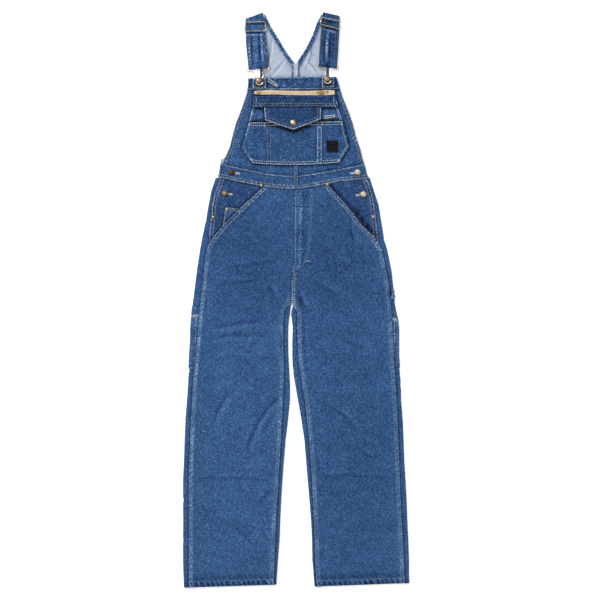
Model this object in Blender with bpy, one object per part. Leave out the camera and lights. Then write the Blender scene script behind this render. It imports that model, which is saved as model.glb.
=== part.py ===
"""Denim dungarees laid flat on their back: front up, +Y towards the straps, +Z up.

Each cut-and-sewn piece is one closed solid with its own cloth wall. "Right" and "left"
are the wearer's, so the right side lies at -X. Tables are in millimetres from the
middle of the garment; heights are above the surface that it lies on.
"""

import math

import bmesh
import bpy
import numpy as np

MM = 0.001

# Driving dimensions, millimetres.
CLOTH = 1.2  # one layer of denim
HEM = 2.4  # the turned-up leg hem, two layers
SEAM_GAP = 0.3  # between pieces that are sewn to each other
TAPE = 1.0  # zip tape and label
INSIDE_LEG = 1.8  # room between the back and the front of a leg
INSIDE_SEAM = 0.3  # room inside the pressed centre-back seam allowance
INSIDE_HEM = 0.4  # room between the two faces at the leg opening
HOOK_WIRE = 1.2  # radius
SLIDE_WIRE = 1.0  # radius
SLIDE_BAR = 0.6  # radius of the bar behind the strap
BIB_BUTTON, SIDE_BUTTON, FLAP_BUTTON, RIVET = 8.4, 7.6, 7.0, 4.4  # radii

# Heights of the stacked layers (underside of each).
LEVEL_BACK = 0.0
LEVEL_ON_BACK = CLOTH + SEAM_GAP
LEVEL_FRONT = 3.0
LEVEL_A = LEVEL_FRONT + CLOTH + SEAM_GAP
LEVEL_B = LEVEL_A + CLOTH + SEAM_GAP
LEVEL_C = LEVEL_B + CLOTH + SEAM_GAP

COLOURS = {
    "denim": ((0.125, 0.215, 0.345, 1.0), 0.9, 0.0),
    "denim_inside": ((0.36, 0.42, 0.50, 1.0), 0.92, 0.0),
    "brass": ((0.60, 0.45, 0.22, 1.0), 0.35, 1.0),
    "bronze": ((0.30, 0.20, 0.12, 1.0), 0.4, 1.0),
    "zip_tape": ((0.42, 0.33, 0.22, 1.0), 0.85, 0.0),
    "label": ((0.02, 0.02, 0.022, 1.0), 0.6, 0.0),
}


def clear_scene():
    for obj in list(bpy.data.objects):
        bpy.data.objects.remove(obj, do_unlink=True)
    for mesh in list(bpy.data.meshes):
        bpy.data.meshes.remove(mesh)


def material(slot):
    found = bpy.data.materials.get(slot)
    if found:
        return found
    colour, roughness, metallic = COLOURS[slot]
    made = bpy.data.materials.new(slot)
    made.use_nodes = True
    shader = made.node_tree.nodes["Principled BSDF"]
    shader.inputs["Base Color"].default_value = colour
    shader.inputs["Roughness"].default_value = roughness
    shader.inputs["Metallic"].default_value = metallic
    made.diffuse_color = colour
    return made


def solid(name, points, faces, slot, smooth=False):
    """One closed mesh, its faces turned outward."""
    mesh = bpy.data.meshes.new(name)
    mesh.from_pydata([tuple(float(c) * MM for c in p) for p in points], [], faces)
    shape = bmesh.new()
    shape.from_mesh(mesh)
    bmesh.ops.recalc_face_normals(shape, faces=shape.faces)
    shape.to_mesh(mesh)
    shape.free()
    mesh.materials.append(material(slot))
    mesh.polygons.foreach_set("use_smooth", [smooth] * len(mesh.polygons))
    obj = bpy.data.objects.new(name, mesh)
    bpy.context.scene.collection.objects.link(obj)
    return obj


def shell(name, grid, wall, slot):
    """A cloth wall round a middle surface given as rows of (x, y, z); wall may change per row."""
    grid = np.asarray(grid, float)
    rows, cols = grid.shape[:2]
    normal = np.cross(np.gradient(grid, axis=1), np.gradient(grid, axis=0))
    normal /= np.linalg.norm(normal, axis=2, keepdims=True)
    half = np.broadcast_to(np.asarray(wall, float).reshape(-1, 1, 1), (rows, 1, 1)) / 2
    points = np.concatenate([(grid + normal * half).reshape(-1, 3), (grid - normal * half).reshape(-1, 3)])
    first, second = (lambda r, c: r * cols + c), (lambda r, c: rows * cols + r * cols + c)
    faces = []
    for r in range(rows - 1):
        for c in range(cols - 1):
            faces.append((first(r, c), first(r, c + 1), first(r + 1, c + 1), first(r + 1, c)))
            faces.append((second(r, c), second(r + 1, c), second(r + 1, c + 1), second(r, c + 1)))
    rim = [(0, c) for c in range(cols)] + [(r, cols - 1) for r in range(1, rows)]
    rim += [(rows - 1, c) for c in range(cols - 2, -1, -1)] + [(r, 0) for r in range(rows - 2, 0, -1)]
    for (r0, c0), (r1, c1) in zip(rim, rim[1:] + rim[:1]):
        faces.append((first(r0, c0), second(r0, c0), second(r1, c1), first(r1, c1)))
    return solid(name, points, faces, slot)


def flat_panel(name, rows, level, slot="denim", across=1, wall=CLOTH):
    """A flat piece. Each row is (x, y) of one end, (x, y) of the other, then the bow of its middle."""
    grid = []
    for xa, ya, xb, yb, *bow in rows:
        bow = bow[0] if bow else 0.0
        row = []
        for k in range(across + 1):
            t = k / across
            row.append((xa + (xb - xa) * t, ya + (yb - ya) * t + bow * 4 * t * (1 - t), level + wall / 2))
        grid.append(row)
    return shell(name, grid, wall, slot)


def band(name, upper, lower, level, slot="denim", wall=CLOTH):
    """A flat strip between an upper and a lower edge that have a point each per section."""
    rows = [[(*point, level + wall / 2) for point in edge] for edge in (upper, lower)]
    return shell(name, rows, wall, slot)


def arc(start, end, steps):
    """The rows of a strap's half turn: out along its length and up or down to the other height."""
    (xa, ya, xb, yb, z0), z1 = start, end
    radius, way = (z1 - z0) / 2, 1 if z1 > z0 else -1
    rows = []
    for k in range(1, steps):
        angle = math.pi * k / steps
        out = abs(radius) * math.sin(angle) * way
        rows.append((xa, ya + out, xb, yb + out, z0 + radius * (1 - math.cos(angle))))
    return rows


def strap(name, back_arm, front, under, across=2):
    """A strap: its back arm, the turn over the shoulder, its front, the turn round the hook, its end."""
    rows = list(back_arm) + arc(back_arm[-1], front[0][4], 6) + list(front)
    rows += arc(front[-1], under[0][4], 6) + list(under)
    grid = [
        [(xa + (xb - xa) * k / across, ya + (yb - ya) * k / across, z) for k in range(across + 1)]
        for xa, ya, xb, yb, z in rows
    ]
    return shell(name, grid, CLOTH, "denim")


def tube(name, path, radius, slot, closed=True, sides=8):
    path = np.asarray(path, float)
    count = len(path)
    before = path[[(k - 1) % count if closed else max(k - 1, 0) for k in range(count)]]
    after = path[[(k + 1) % count if closed else min(k + 1, count - 1) for k in range(count)]]
    along = after - before
    along /= np.linalg.norm(along, axis=1, keepdims=True)
    side = np.cross((0.0, 0.0, 1.0), along)
    side /= np.linalg.norm(side, axis=1, keepdims=True)
    up = np.cross(along, side)
    points, faces = [], []
    for k in range(count):
        for s in range(sides):
            a = 2 * math.pi * s / sides
            points.append(path[k] + radius * (math.cos(a) * side[k] + math.sin(a) * up[k]))
    for k in range(count if closed else count - 1):
        n = (k + 1) % count
        for s in range(sides):
            t = (s + 1) % sides
            faces.append((k * sides + s, k * sides + t, n * sides + t, n * sides + s))
    if not closed:
        faces.append(tuple(range(sides)))
        faces.append(tuple((count - 1) * sides + s for s in range(sides)))
    return solid(name, points, faces, slot, smooth=True)


def turned(name, x, y, profile, slot, sides=16):
    """A round piece about its own upright line; profile is (radius, height) from bottom to top."""
    points, faces = [(x, y, profile[0][1])], []
    rings = [p for p in profile if p[0] > 0]
    for radius, z in rings:
        for s in range(sides):
            a = 2 * math.pi * s / sides
            points.append((x + radius * math.cos(a), y + radius * math.sin(a), z))
    points.append((x, y, profile[-1][1]))
    for s in range(sides):
        t = (s + 1) % sides
        faces.append((0, 1 + t, 1 + s))
        for k in range(len(rings) - 1):
            low, high = 1 + k * sides, 1 + (k + 1) * sides
            faces.append((low + s, low + t, high + t, high + s))
        top = 1 + (len(rings) - 1) * sides
        faces.append((top + s, top + t, len(points) - 1))
    return solid(name, points, faces, slot, smooth=True)


def box(name, low, high, slot):
    (x0, y0, z0), (x1, y1, z1) = low, high
    points = [(x, y, z) for z in (z0, z1) for x, y in ((x0, y0), (x1, y0), (x1, y1), (x0, y1))]
    faces = [(0, 3, 2, 1), (4, 5, 6, 7), (0, 1, 5, 4), (1, 2, 6, 5), (2, 3, 7, 6), (3, 0, 4, 7)]
    return solid(name, points, faces, slot)


def join(target, *others):
    """Makes the others part of the target's one body."""
    for other in others:
        joined = target.modifiers.new(other.name, "BOOLEAN")
        joined.operation = "UNION"
        joined.solver = "EXACT"
        joined.object = other
        other.hide_render = True
        other.display_type = "WIRE"
    return target


# ---------------------------------------------------------------- back legs

# One row per section of a back leg, top to bottom: the y of its outer and inner edge, x of the
# outer fold, x where its outer strip ends under the front, x of the inner fold, x where its inner
# strip ends, wall, room inside the outer fold, room inside the inner fold.
BACK_LEG_RIGHT = [
    (317.7, 317.7, -209.2, -198.8, -1.4, -10.5, CLOTH, INSIDE_LEG, INSIDE_SEAM),
    (286.0, 286.0, -220.3, -205.5, -2.0, -11.1, CLOTH, INSIDE_LEG, INSIDE_SEAM),
    (247.0, 247.0, -227.9, -207.6, -3.0, -12.1, CLOTH, INSIDE_LEG, INSIDE_SEAM),
    (208.0, 208.0, -234.7, -210.7, -4.3, -13.4, CLOTH, INSIDE_LEG, INSIDE_SEAM),
    (156.0, 156.0, -245.6, -215.7, -6.4, -15.5, CLOTH, INSIDE_LEG, INSIDE_SEAM),
    (130.0, 130.0, -250.2, -224.2, -7.7, -16.8, CLOTH, INSIDE_LEG, INSIDE_SEAM),
    (78.0, 78.0, -258.1, -229.5, -9.2, -18.3, CLOTH, INSIDE_LEG, INSIDE_SEAM),
    (26.0, 26.0, -264.6, -239.3, -11.1, -20.2, CLOTH, INSIDE_LEG, INSIDE_SEAM),
    (-7.8, -7.8, -269.0, -242.5, -12.6, -21.7, CLOTH, INSIDE_LEG, INSIDE_SEAM),
    (-18.2, -18.2, -270.0, -243.5, -14.2, -35.8, CLOTH, INSIDE_LEG, INSIDE_LEG),
    (-31.2, -31.2, -271.1, -245.1, -15.7, -39.6, CLOTH, INSIDE_LEG, INSIDE_LEG),
    (-46.8, -46.8, -272.4, -245.8, -18.3, -41.0, CLOTH, INSIDE_LEG, INSIDE_LEG),
    (-72.8, -72.8, -274.2, -246.9, -20.7, -42.2, CLOTH, INSIDE_LEG, INSIDE_LEG),
    (-104.0, -104.0, -274.9, -247.7, -20.9, -42.2, CLOTH, INSIDE_LEG, INSIDE_LEG),
    (-143.0, -143.0, -277.3, -250.2, -20.4, -39.9, CLOTH, INSIDE_LEG, INSIDE_LEG),
    (-182.0, -182.0, -279.1, -253.6, -18.1, -38.1, CLOTH, INSIDE_LEG, INSIDE_LEG),
    (-221.0, -221.0, -281.4, -257.0, -16.2, -39.6, CLOTH, INSIDE_LEG, INSIDE_LEG),
    (-260.0, -260.0, -284.1, -259.9, -16.2, -42.2, CLOTH, INSIDE_LEG, INSIDE_LEG),
    (-312.0, -312.0, -288.2, -262.7, -21.4, -45.4, CLOTH, INSIDE_LEG, INSIDE_LEG),
    (-364.0, -364.0, -290.3, -265.1, -27.7, -48.2, CLOTH, INSIDE_LEG, INSIDE_LEG),
    (-416.0, -416.0, -291.9, -266.9, -31.9, -51.4, CLOTH, INSIDE_LEG, INSIDE_LEG),
    (-468.0, -468.0, -294.4, -268.4, -35.8, -55.2, CLOTH, INSIDE_LEG, INSIDE_LEG),
    (-520.0, -520.0, -294.4, -268.4, -38.9, -57.9, CLOTH, INSIDE_LEG, INSIDE_LEG),
    (-572.0, -572.0, -293.9, -268.2, -41.5, -60.5, CLOTH, INSIDE_LEG, INSIDE_LEG),
    (-624.0, -624.0, -294.4, -267.7, -43.3, -63.1, CLOTH, INSIDE_LEG, INSIDE_LEG),
    (-676.0, -676.0, -294.4, -266.4, -47.5, -65.7, CLOTH, INSIDE_LEG, INSIDE_LEG),
    (-704.6, -704.6, -293.7, -265.9, -49.3, -66.4, CLOTH, INSIDE_LEG, INSIDE_LEG),
    (-721.5, -717.6, -292.9, -265.9, -50.3, -66.7, CLOTH, INSIDE_LEG, INSIDE_LEG),
    (-728.8, -724.1, -292.4, -265.9, -50.6, -66.7, HEM, INSIDE_HEM, INSIDE_HEM),
    (-747.5, -740.5, -291.9, -265.9, -51.1, -66.7, HEM, INSIDE_HEM, INSIDE_HEM),
]
BACK_LEG_LEFT = [
    (317.7, 317.7, 191.0, 186.6, -1.0, 7.9, CLOTH, INSIDE_LEG, INSIDE_SEAM),
    (286.0, 286.0, 201.1, 185.2, -1.6, 7.4, CLOTH, INSIDE_LEG, INSIDE_SEAM),
    (247.0, 247.0, 214.1, 191.8, -2.6, 6.4, CLOTH, INSIDE_LEG, INSIDE_SEAM),
    (208.0, 208.0, 220.3, 197.0, -3.9, 5.1, CLOTH, INSIDE_LEG, INSIDE_SEAM),
    (156.0, 156.0, 228.7, 201.1, -6.0, 3.0, CLOTH, INSIDE_LEG, INSIDE_SEAM),
    (130.0, 130.0, 236.5, 212.6, -7.3, 1.7, CLOTH, INSIDE_LEG, INSIDE_SEAM),
    (78.0, 78.0, 247.4, 223.0, -8.8, 0.1, CLOTH, INSIDE_LEG, INSIDE_SEAM),
    (26.0, 26.0, 253.1, 232.8, -10.7, -1.7, CLOTH, INSIDE_LEG, INSIDE_SEAM),
    (-7.8, -7.8, 256.5, 235.7, -12.2, -3.2, CLOTH, INSIDE_LEG, INSIDE_SEAM),
    (-18.2, -18.2, 258.1, 236.5, -13.1, 5.9, CLOTH, INSIDE_LEG, INSIDE_LEG),
    (-31.2, -31.2, 260.7, 237.2, -14.2, 11.1, CLOTH, INSIDE_LEG, INSIDE_LEG),
    (-46.8, -46.8, 263.5, 238.6, -12.1, 12.1, CLOTH, INSIDE_LEG, INSIDE_LEG),
    (-72.8, -72.8, 265.9, 240.1, -9.0, 12.1, CLOTH, INSIDE_LEG, INSIDE_LEG),
    (-104.0, -104.0, 265.9, 241.2, -10.5, 12.1, CLOTH, INSIDE_LEG, INSIDE_LEG),
    (-143.0, -143.0, 266.1, 243.2, -10.5, 14.2, CLOTH, INSIDE_LEG, INSIDE_LEG),
    (-182.0, -182.0, 268.4, 245.3, -9.0, 17.0, CLOTH, INSIDE_LEG, INSIDE_LEG),
    (-221.0, -221.0, 272.1, 247.9, -2.5, 22.8, CLOTH, INSIDE_LEG, INSIDE_LEG),
    (-260.0, -260.0, 272.4, 250.2, 4.5, 30.6, CLOTH, INSIDE_LEG, INSIDE_LEG),
    (-312.0, -312.0, 276.8, 252.9, 13.4, 37.3, CLOTH, INSIDE_LEG, INSIDE_LEG),
    (-364.0, -364.0, 279.1, 255.2, 21.2, 42.8, CLOTH, INSIDE_LEG, INSIDE_LEG),
    (-416.0, -416.0, 280.7, 258.1, 25.4, 46.7, CLOTH, INSIDE_LEG, INSIDE_LEG),
    (-468.0, -468.0, 284.1, 260.7, 29.8, 48.8, CLOTH, INSIDE_LEG, INSIDE_LEG),
    (-520.0, -520.0, 286.9, 263.0, 34.2, 52.4, CLOTH, INSIDE_LEG, INSIDE_LEG),
    (-572.0, -572.0, 288.7, 265.1, 38.4, 55.2, CLOTH, INSIDE_LEG, INSIDE_LEG),
    (-624.0, -624.0, 291.3, 267.2, 41.0, 56.3, CLOTH, INSIDE_LEG, INSIDE_LEG),
    (-676.0, -676.0, 293.2, 269.5, 41.7, 56.6, CLOTH, INSIDE_LEG, INSIDE_LEG),
    (-704.6, -704.6, 293.2, 271.1, 44.3, 57.9, CLOTH, INSIDE_LEG, INSIDE_LEG),
    (-716.3, -721.5, 293.2, 271.8, 45.6, 58.6, CLOTH, INSIDE_LEG, INSIDE_LEG),
    (-723.3, -728.8, 293.7, 272.4, 46.1, 59.1, HEM, INSIDE_HEM, INSIDE_HEM),
    (-736.3, -744.9, 294.4, 272.9, 47.2, 59.7, HEM, INSIDE_HEM, INSIDE_HEM),
]
FOLD_STEPS = 5


def fold_points(x_edge, y, x_end, wall, room, outward):
    """A folded edge from the end of its upper strip, round the fold, to where it lies flat."""
    radius = (wall + room) / 2
    centre = x_edge - outward * (radius + wall / 2)
    points = [(x_end, y, wall / 2 + 2 * radius), (centre, y, wall / 2 + 2 * radius)]
    for k in range(1, FOLD_STEPS + 1):
        a = math.pi / 2 - math.pi * k / (FOLD_STEPS + 1)
        points.append((centre + outward * radius * math.cos(a), y, wall / 2 + radius * (1 + math.sin(a))))
    points.append((centre, y, wall / 2))
    return points


def back_leg(name, table):
    grid = []
    for y_out, y_in, x_out, x_strip, x_in, x_allowance, wall, room_out, room_in in table:
        outward = 1 if x_out > x_in else -1
        outer = fold_points(x_out, y_out, x_strip, wall, room_out, outward)
        inner = fold_points(x_in, y_in, x_allowance, wall, room_in, -outward)[::-1]
        x0, x1 = outer[-1][0], inner[0][0]
        middle = [(x0 + (x1 - x0) * t, y_out + (y_in - y_out) * t, wall / 2) for t in (0.25, 0.5, 0.75)]
        grid.append(outer + middle + inner)
    return shell(name, grid, [row[6] for row in table], "denim")


# ---------------------------------------------------------------- fronts

# One row per section, top to bottom: outer end (x, y), inner end (x, y), then how far the outer
# edge lies over what is under it and its rise there, the same for the inner edge, the height of
# the middle of the wall, and the wall.
FRONT_LEG_RIGHT = [
    (-77.4, 300.8, 1.7, 295.1, 5.2, 0, 0.0, 0, LEVEL_FRONT + CLOTH / 2, CLOTH),
    (-82.0, 293.8, 1.7, 289.1, 5.2, 0.2, 0.0, 0, LEVEL_FRONT + CLOTH / 2, CLOTH),
    (-90.4, 288.1, 1.7, 283.4, 14.3, 1.5, 0.0, 0, LEVEL_FRONT + CLOTH / 2, CLOTH),
    (-119.5, 262.6, 1.7, 260.0, 14.8, 1.5, 0.0, 0, LEVEL_FRONT + CLOTH / 2, CLOTH),
    (-145.2, 239.2, 1.7, 237.9, 16.1, 3.0, 0.0, 0, LEVEL_FRONT + CLOTH / 2, CLOTH),
    (-168.6, 215.3, 1.4, 214.5, 16.6, 3.0, 0.0, 0, LEVEL_FRONT + CLOTH / 2, CLOTH),
    (-188.9, 194.2, 1.4, 192.4, 16.1, 3.0, 0.0, 0, LEVEL_FRONT + CLOTH / 2, CLOTH),
    (-205.0, 175.2, 1.4, 174.2, 16.6, 3.0, 0.0, 0, LEVEL_FRONT + CLOTH / 2, CLOTH),
    (-220.1, 157.6, 1.2, 156.0, 16.6, 3.0, 0.0, 0, LEVEL_FRONT + CLOTH / 2, CLOTH),
    (-227.6, 143.0, 1.2, 142.5, 13.0, 3.0, 0.0, 0, LEVEL_FRONT + CLOTH / 2, CLOTH),
    (-232.6, 130.0, 1.2, 130.0, 8.8, 1.5, 0.0, 0, LEVEL_FRONT + CLOTH / 2, CLOTH),
    (-236.7, 104.0, 0.9, 104.0, 10.1, 1.5, 0.0, 0, LEVEL_FRONT + CLOTH / 2, CLOTH),
    (-239.8, 78.0, -6.9, 78.0, 10.4, 1.5, 0.0, 0, LEVEL_FRONT + CLOTH / 2, CLOTH),
    (-242.5, 49.4, -9.8, 49.4, 8.3, 1.5, 0.0, 0, LEVEL_FRONT + CLOTH / 2, CLOTH),
    (-245.6, 20.8, -11.3, 20.8, 6.2, 1.5, 0.0, 0, LEVEL_FRONT + CLOTH / 2, CLOTH),
    (-248.7, -7.8, -12.3, -7.8, 6.2, 1.5, 1.3, 0, LEVEL_FRONT + CLOTH / 2, CLOTH),
    (-250.2, -18.2, -25.1, -18.2, 6.8, 1.5, 10.7, 1.5, LEVEL_FRONT + CLOTH / 2, CLOTH),
    (-251.8, -31.2, -31.3, -31.2, 6.8, 1.5, 8.3, 1.5, LEVEL_FRONT + CLOTH / 2, CLOTH),
    (-253.1, -46.8, -33.4, -46.8, 7.3, 1.5, 7.5, 1.5, LEVEL_FRONT + CLOTH / 2, CLOTH),
    (-254.9, -72.8, -34.5, -72.8, 8.1, 1.5, 7.8, 1.5, LEVEL_FRONT + CLOTH / 2, CLOTH),
    (-258.1, -104.0, -34.5, -104.0, 10.4, 1.5, 7.8, 1.5, LEVEL_FRONT + CLOTH / 2, CLOTH),
    (-261.2, -143.0, -32.9, -143.0, 10.9, 1.5, 7.0, 1.5, LEVEL_FRONT + CLOTH / 2, CLOTH),
    (-265.3, -182.0, -31.9, -182.0, 11.7, 1.5, 6.2, 1.5, LEVEL_FRONT + CLOTH / 2, CLOTH),
    (-268.4, -221.0, -32.9, -221.0, 11.4, 1.5, 6.8, 1.5, LEVEL_FRONT + CLOTH / 2, CLOTH),
    (-270.3, -260.0, -34.5, -260.0, 10.4, 1.5, 7.8, 1.5, LEVEL_FRONT + CLOTH / 2, CLOTH),
    (-273.1, -312.0, -37.1, -312.0, 10.4, 1.5, 8.3, 1.5, LEVEL_FRONT + CLOTH / 2, CLOTH),
    (-275.7, -364.0, -39.6, -364.0, 10.7, 1.5, 8.6, 1.5, LEVEL_FRONT + CLOTH / 2, CLOTH),
    (-277.3, -416.0, -42.8, -416.0, 10.4, 1.5, 8.6, 1.5, LEVEL_FRONT + CLOTH / 2, CLOTH),
    (-278.9, -468.0, -46.1, -468.0, 10.4, 1.5, 9.1, 1.5, LEVEL_FRONT + CLOTH / 2, CLOTH),
    (-278.9, -520.0, -49.5, -520.0, 10.4, 1.5, 8.3, 1.5, LEVEL_FRONT + CLOTH / 2, CLOTH),
    (-278.9, -572.0, -52.6, -572.0, 10.7, 1.5, 7.8, 1.5, LEVEL_FRONT + CLOTH / 2, CLOTH),
    (-278.9, -624.0, -54.7, -624.0, 11.2, 1.5, 8.3, 1.5, LEVEL_FRONT + CLOTH / 2, CLOTH),
    (-278.9, -676.0, -56.6, -676.0, 12.5, 1.5, 9.1, 1.5, LEVEL_FRONT + CLOTH / 2, CLOTH),
    (-278.9, -704.6, -57.6, -704.6, 13.0, 1.5, 8.8, 1.5, LEVEL_FRONT + CLOTH / 2, CLOTH),
    (-278.9, -721.5, -58.1, -717.6, 13.0, 1.5, 8.6, 1.5, LEVEL_FRONT + CLOTH / 2, CLOTH),
    (-278.9, -728.8, -58.4, -724.1, 13.0, 2.7, 8.3, 2.7, HEM + INSIDE_HEM + HEM / 2, HEM),
    (-278.9, -747.0, -58.6, -740.0, 13.0, 2.7, 8.1, 2.7, HEM + INSIDE_HEM + HEM / 2, HEM),
]
FRONT_LEG_LEFT = [
    (74.8, 305.2, 2.1, 295.1, 5.2, 0, 0.0, 0, LEVEL_FRONT + CLOTH / 2, CLOTH),
    (81.5, 298.2, 2.1, 289.1, 5.2, 0.2, 0.0, 0, LEVEL_FRONT + CLOTH / 2, CLOTH),
    (87.2, 292.8, 2.1, 283.4, 12.2, 1.5, 0.0, 0, LEVEL_FRONT + CLOTH / 2, CLOTH),
    (113.8, 263.9, 2.1, 260.0, 11.7, 3.5, 0.0, 0, LEVEL_FRONT + CLOTH / 2, CLOTH),
    (139.8, 235.0, 2.0, 234.5, 11.7, 4.5, 0.0, 0, LEVEL_FRONT + CLOTH / 2, CLOTH),
    (155.3, 214.0, 2.0, 213.7, 11.7, 4.8, 0.0, 0, LEVEL_FRONT + CLOTH / 2, CLOTH),
    (171.0, 193.2, 1.8, 192.4, 17.7, 4.2, 0.0, 0, LEVEL_FRONT + CLOTH / 2, CLOTH),
    (186.6, 178.1, 1.8, 176.8, 19.8, 3.4, 0.0, 0, LEVEL_FRONT + CLOTH / 2, CLOTH),
    (202.2, 163.8, 1.6, 156.0, 19.2, 3.0, 0.0, 0, LEVEL_FRONT + CLOTH / 2, CLOTH),
    (217.2, 139.4, 1.6, 138.8, 13.0, 3.0, 0.0, 0, LEVEL_FRONT + CLOTH / 2, CLOTH),
    (223.0, 127.4, 1.6, 127.4, 10.4, 1.5, 0.0, 0, LEVEL_FRONT + CLOTH / 2, CLOTH),
    (228.2, 104.0, 1.2, 104.0, 7.8, 1.5, 0.0, 0, LEVEL_FRONT + CLOTH / 2, CLOTH),
    (233.3, 78.0, -6.6, 78.0, 10.4, 1.5, 0.0, 0, LEVEL_FRONT + CLOTH / 2, CLOTH),
    (239.1, 49.4, -9.4, 49.4, 10.9, 1.5, 0.0, 0, LEVEL_FRONT + CLOTH / 2, CLOTH),
    (243.8, 20.8, -11.0, 20.8, 10.9, 1.5, 0.0, 0, LEVEL_FRONT + CLOTH / 2, CLOTH),
    (246.1, -7.8, -12.0, -7.8, 10.4, 1.5, 1.3, 0, LEVEL_FRONT + CLOTH / 2, CLOTH),
    (246.6, -18.2, -5.1, -18.2, 10.1, 1.5, 11.2, 1.5, LEVEL_FRONT + CLOTH / 2, CLOTH),
    (247.7, -31.2, 3.0, -31.2, 10.4, 1.5, 8.3, 1.5, LEVEL_FRONT + CLOTH / 2, CLOTH),
    (248.7, -46.8, 3.5, -46.8, 10.1, 1.5, 8.8, 1.5, LEVEL_FRONT + CLOTH / 2, CLOTH),
    (250.0, -72.8, 3.5, -72.8, 9.9, 1.5, 8.8, 1.5, LEVEL_FRONT + CLOTH / 2, CLOTH),
    (251.6, -104.0, 3.5, -104.0, 10.4, 1.5, 8.8, 1.5, LEVEL_FRONT + CLOTH / 2, CLOTH),
    (253.6, -143.0, 5.3, -143.0, 10.4, 1.5, 9.1, 1.5, LEVEL_FRONT + CLOTH / 2, CLOTH),
    (255.7, -182.0, 9.2, -182.0, 10.4, 1.5, 8.1, 1.5, LEVEL_FRONT + CLOTH / 2, CLOTH),
    (258.3, -221.0, 15.7, -221.0, 10.4, 1.5, 7.3, 1.5, LEVEL_FRONT + CLOTH / 2, CLOTH),
    (260.7, -260.0, 22.8, -260.0, 10.4, 1.5, 8.1, 1.5, LEVEL_FRONT + CLOTH / 2, CLOTH),
    (263.2, -312.0, 28.5, -312.0, 10.4, 1.5, 9.1, 1.5, LEVEL_FRONT + CLOTH / 2, CLOTH),
    (265.3, -364.0, 33.7, -364.0, 10.1, 1.5, 9.4, 1.5, LEVEL_FRONT + CLOTH / 2, CLOTH),
    (267.2, -416.0, 37.8, -416.0, 9.1, 1.5, 9.1, 1.5, LEVEL_FRONT + CLOTH / 2, CLOTH),
    (269.0, -468.0, 41.0, -468.0, 8.3, 1.5, 8.1, 1.5, LEVEL_FRONT + CLOTH / 2, CLOTH),
    (271.6, -520.0, 43.8, -520.0, 8.6, 1.5, 8.8, 1.5, LEVEL_FRONT + CLOTH / 2, CLOTH),
    (274.2, -572.0, 46.1, -572.0, 9.1, 1.5, 9.4, 1.5, LEVEL_FRONT + CLOTH / 2, CLOTH),
    (276.8, -624.0, 48.2, -624.0, 9.6, 1.5, 8.3, 1.5, LEVEL_FRONT + CLOTH / 2, CLOTH),
    (279.4, -676.0, 49.3, -676.0, 9.9, 1.5, 7.5, 1.5, LEVEL_FRONT + CLOTH / 2, CLOTH),
    (280.4, -704.6, 50.8, -704.6, 9.4, 1.5, 7.3, 1.5, LEVEL_FRONT + CLOTH / 2, CLOTH),
    (280.9, -716.3, 51.9, -721.5, 9.1, 1.5, 7.0, 1.5, LEVEL_FRONT + CLOTH / 2, CLOTH),
    (281.2, -723.3, 52.6, -728.8, 8.8, 2.7, 6.8, 2.7, HEM + INSIDE_HEM + HEM / 2, HEM),
    (281.7, -735.8, 53.7, -744.4, 8.8, 2.7, 6.2, 2.7, HEM + INSIDE_HEM + HEM / 2, HEM),
]
FACING_RIGHT = [
    (-195.9, 322.9, -85.9, 301.6, 0.0, 0, 0.0, 0, LEVEL_FRONT + CLOTH / 2, CLOTH),
    (-196.7, 317.2, -84.9, 295.4, 0.0, 0, 0.0, 0, LEVEL_FRONT + CLOTH / 2, CLOTH),
    (-199.8, 308.1, -89.8, 290.2, 2.1, 1.5, 0.0, 0, LEVEL_FRONT + CLOTH / 2, CLOTH),
    (-205.0, 293.8, -91.9, 273.0, 3.9, 1.5, 0.0, 0, LEVEL_FRONT + CLOTH / 2, CLOTH),
    (-211.2, 278.2, -108.5, 257.4, 8.3, 1.5, 0.0, 0, LEVEL_FRONT + CLOTH / 2, CLOTH),
    (-218.0, 247.0, -137.4, 229.3, 10.9, 1.5, 0.0, 0, LEVEL_FRONT + CLOTH / 2, CLOTH),
    (-220.1, 218.4, -159.8, 206.7, 10.9, 1.5, 0.0, 0, LEVEL_FRONT + CLOTH / 2, CLOTH),
    (-222.2, 201.2, -175.9, 191.6, 11.4, 1.5, 0.0, 0, LEVEL_FRONT + CLOTH / 2, CLOTH),
    (-225.6, 178.1, -192.3, 172.4, 23.9, 1.5, 0.0, 1.5, LEVEL_FRONT + CLOTH / 2, CLOTH),
    (-225.3, 158.6, -210.2, 152.9, 12.0, 1.5, 0.0, 1.5, LEVEL_FRONT + CLOTH / 2, CLOTH),
    (-225.3, 148.7, -216.7, 145.1, 5.2, 1.5, 0.0, 1.5, LEVEL_FRONT + CLOTH / 2, CLOTH),
]
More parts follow.
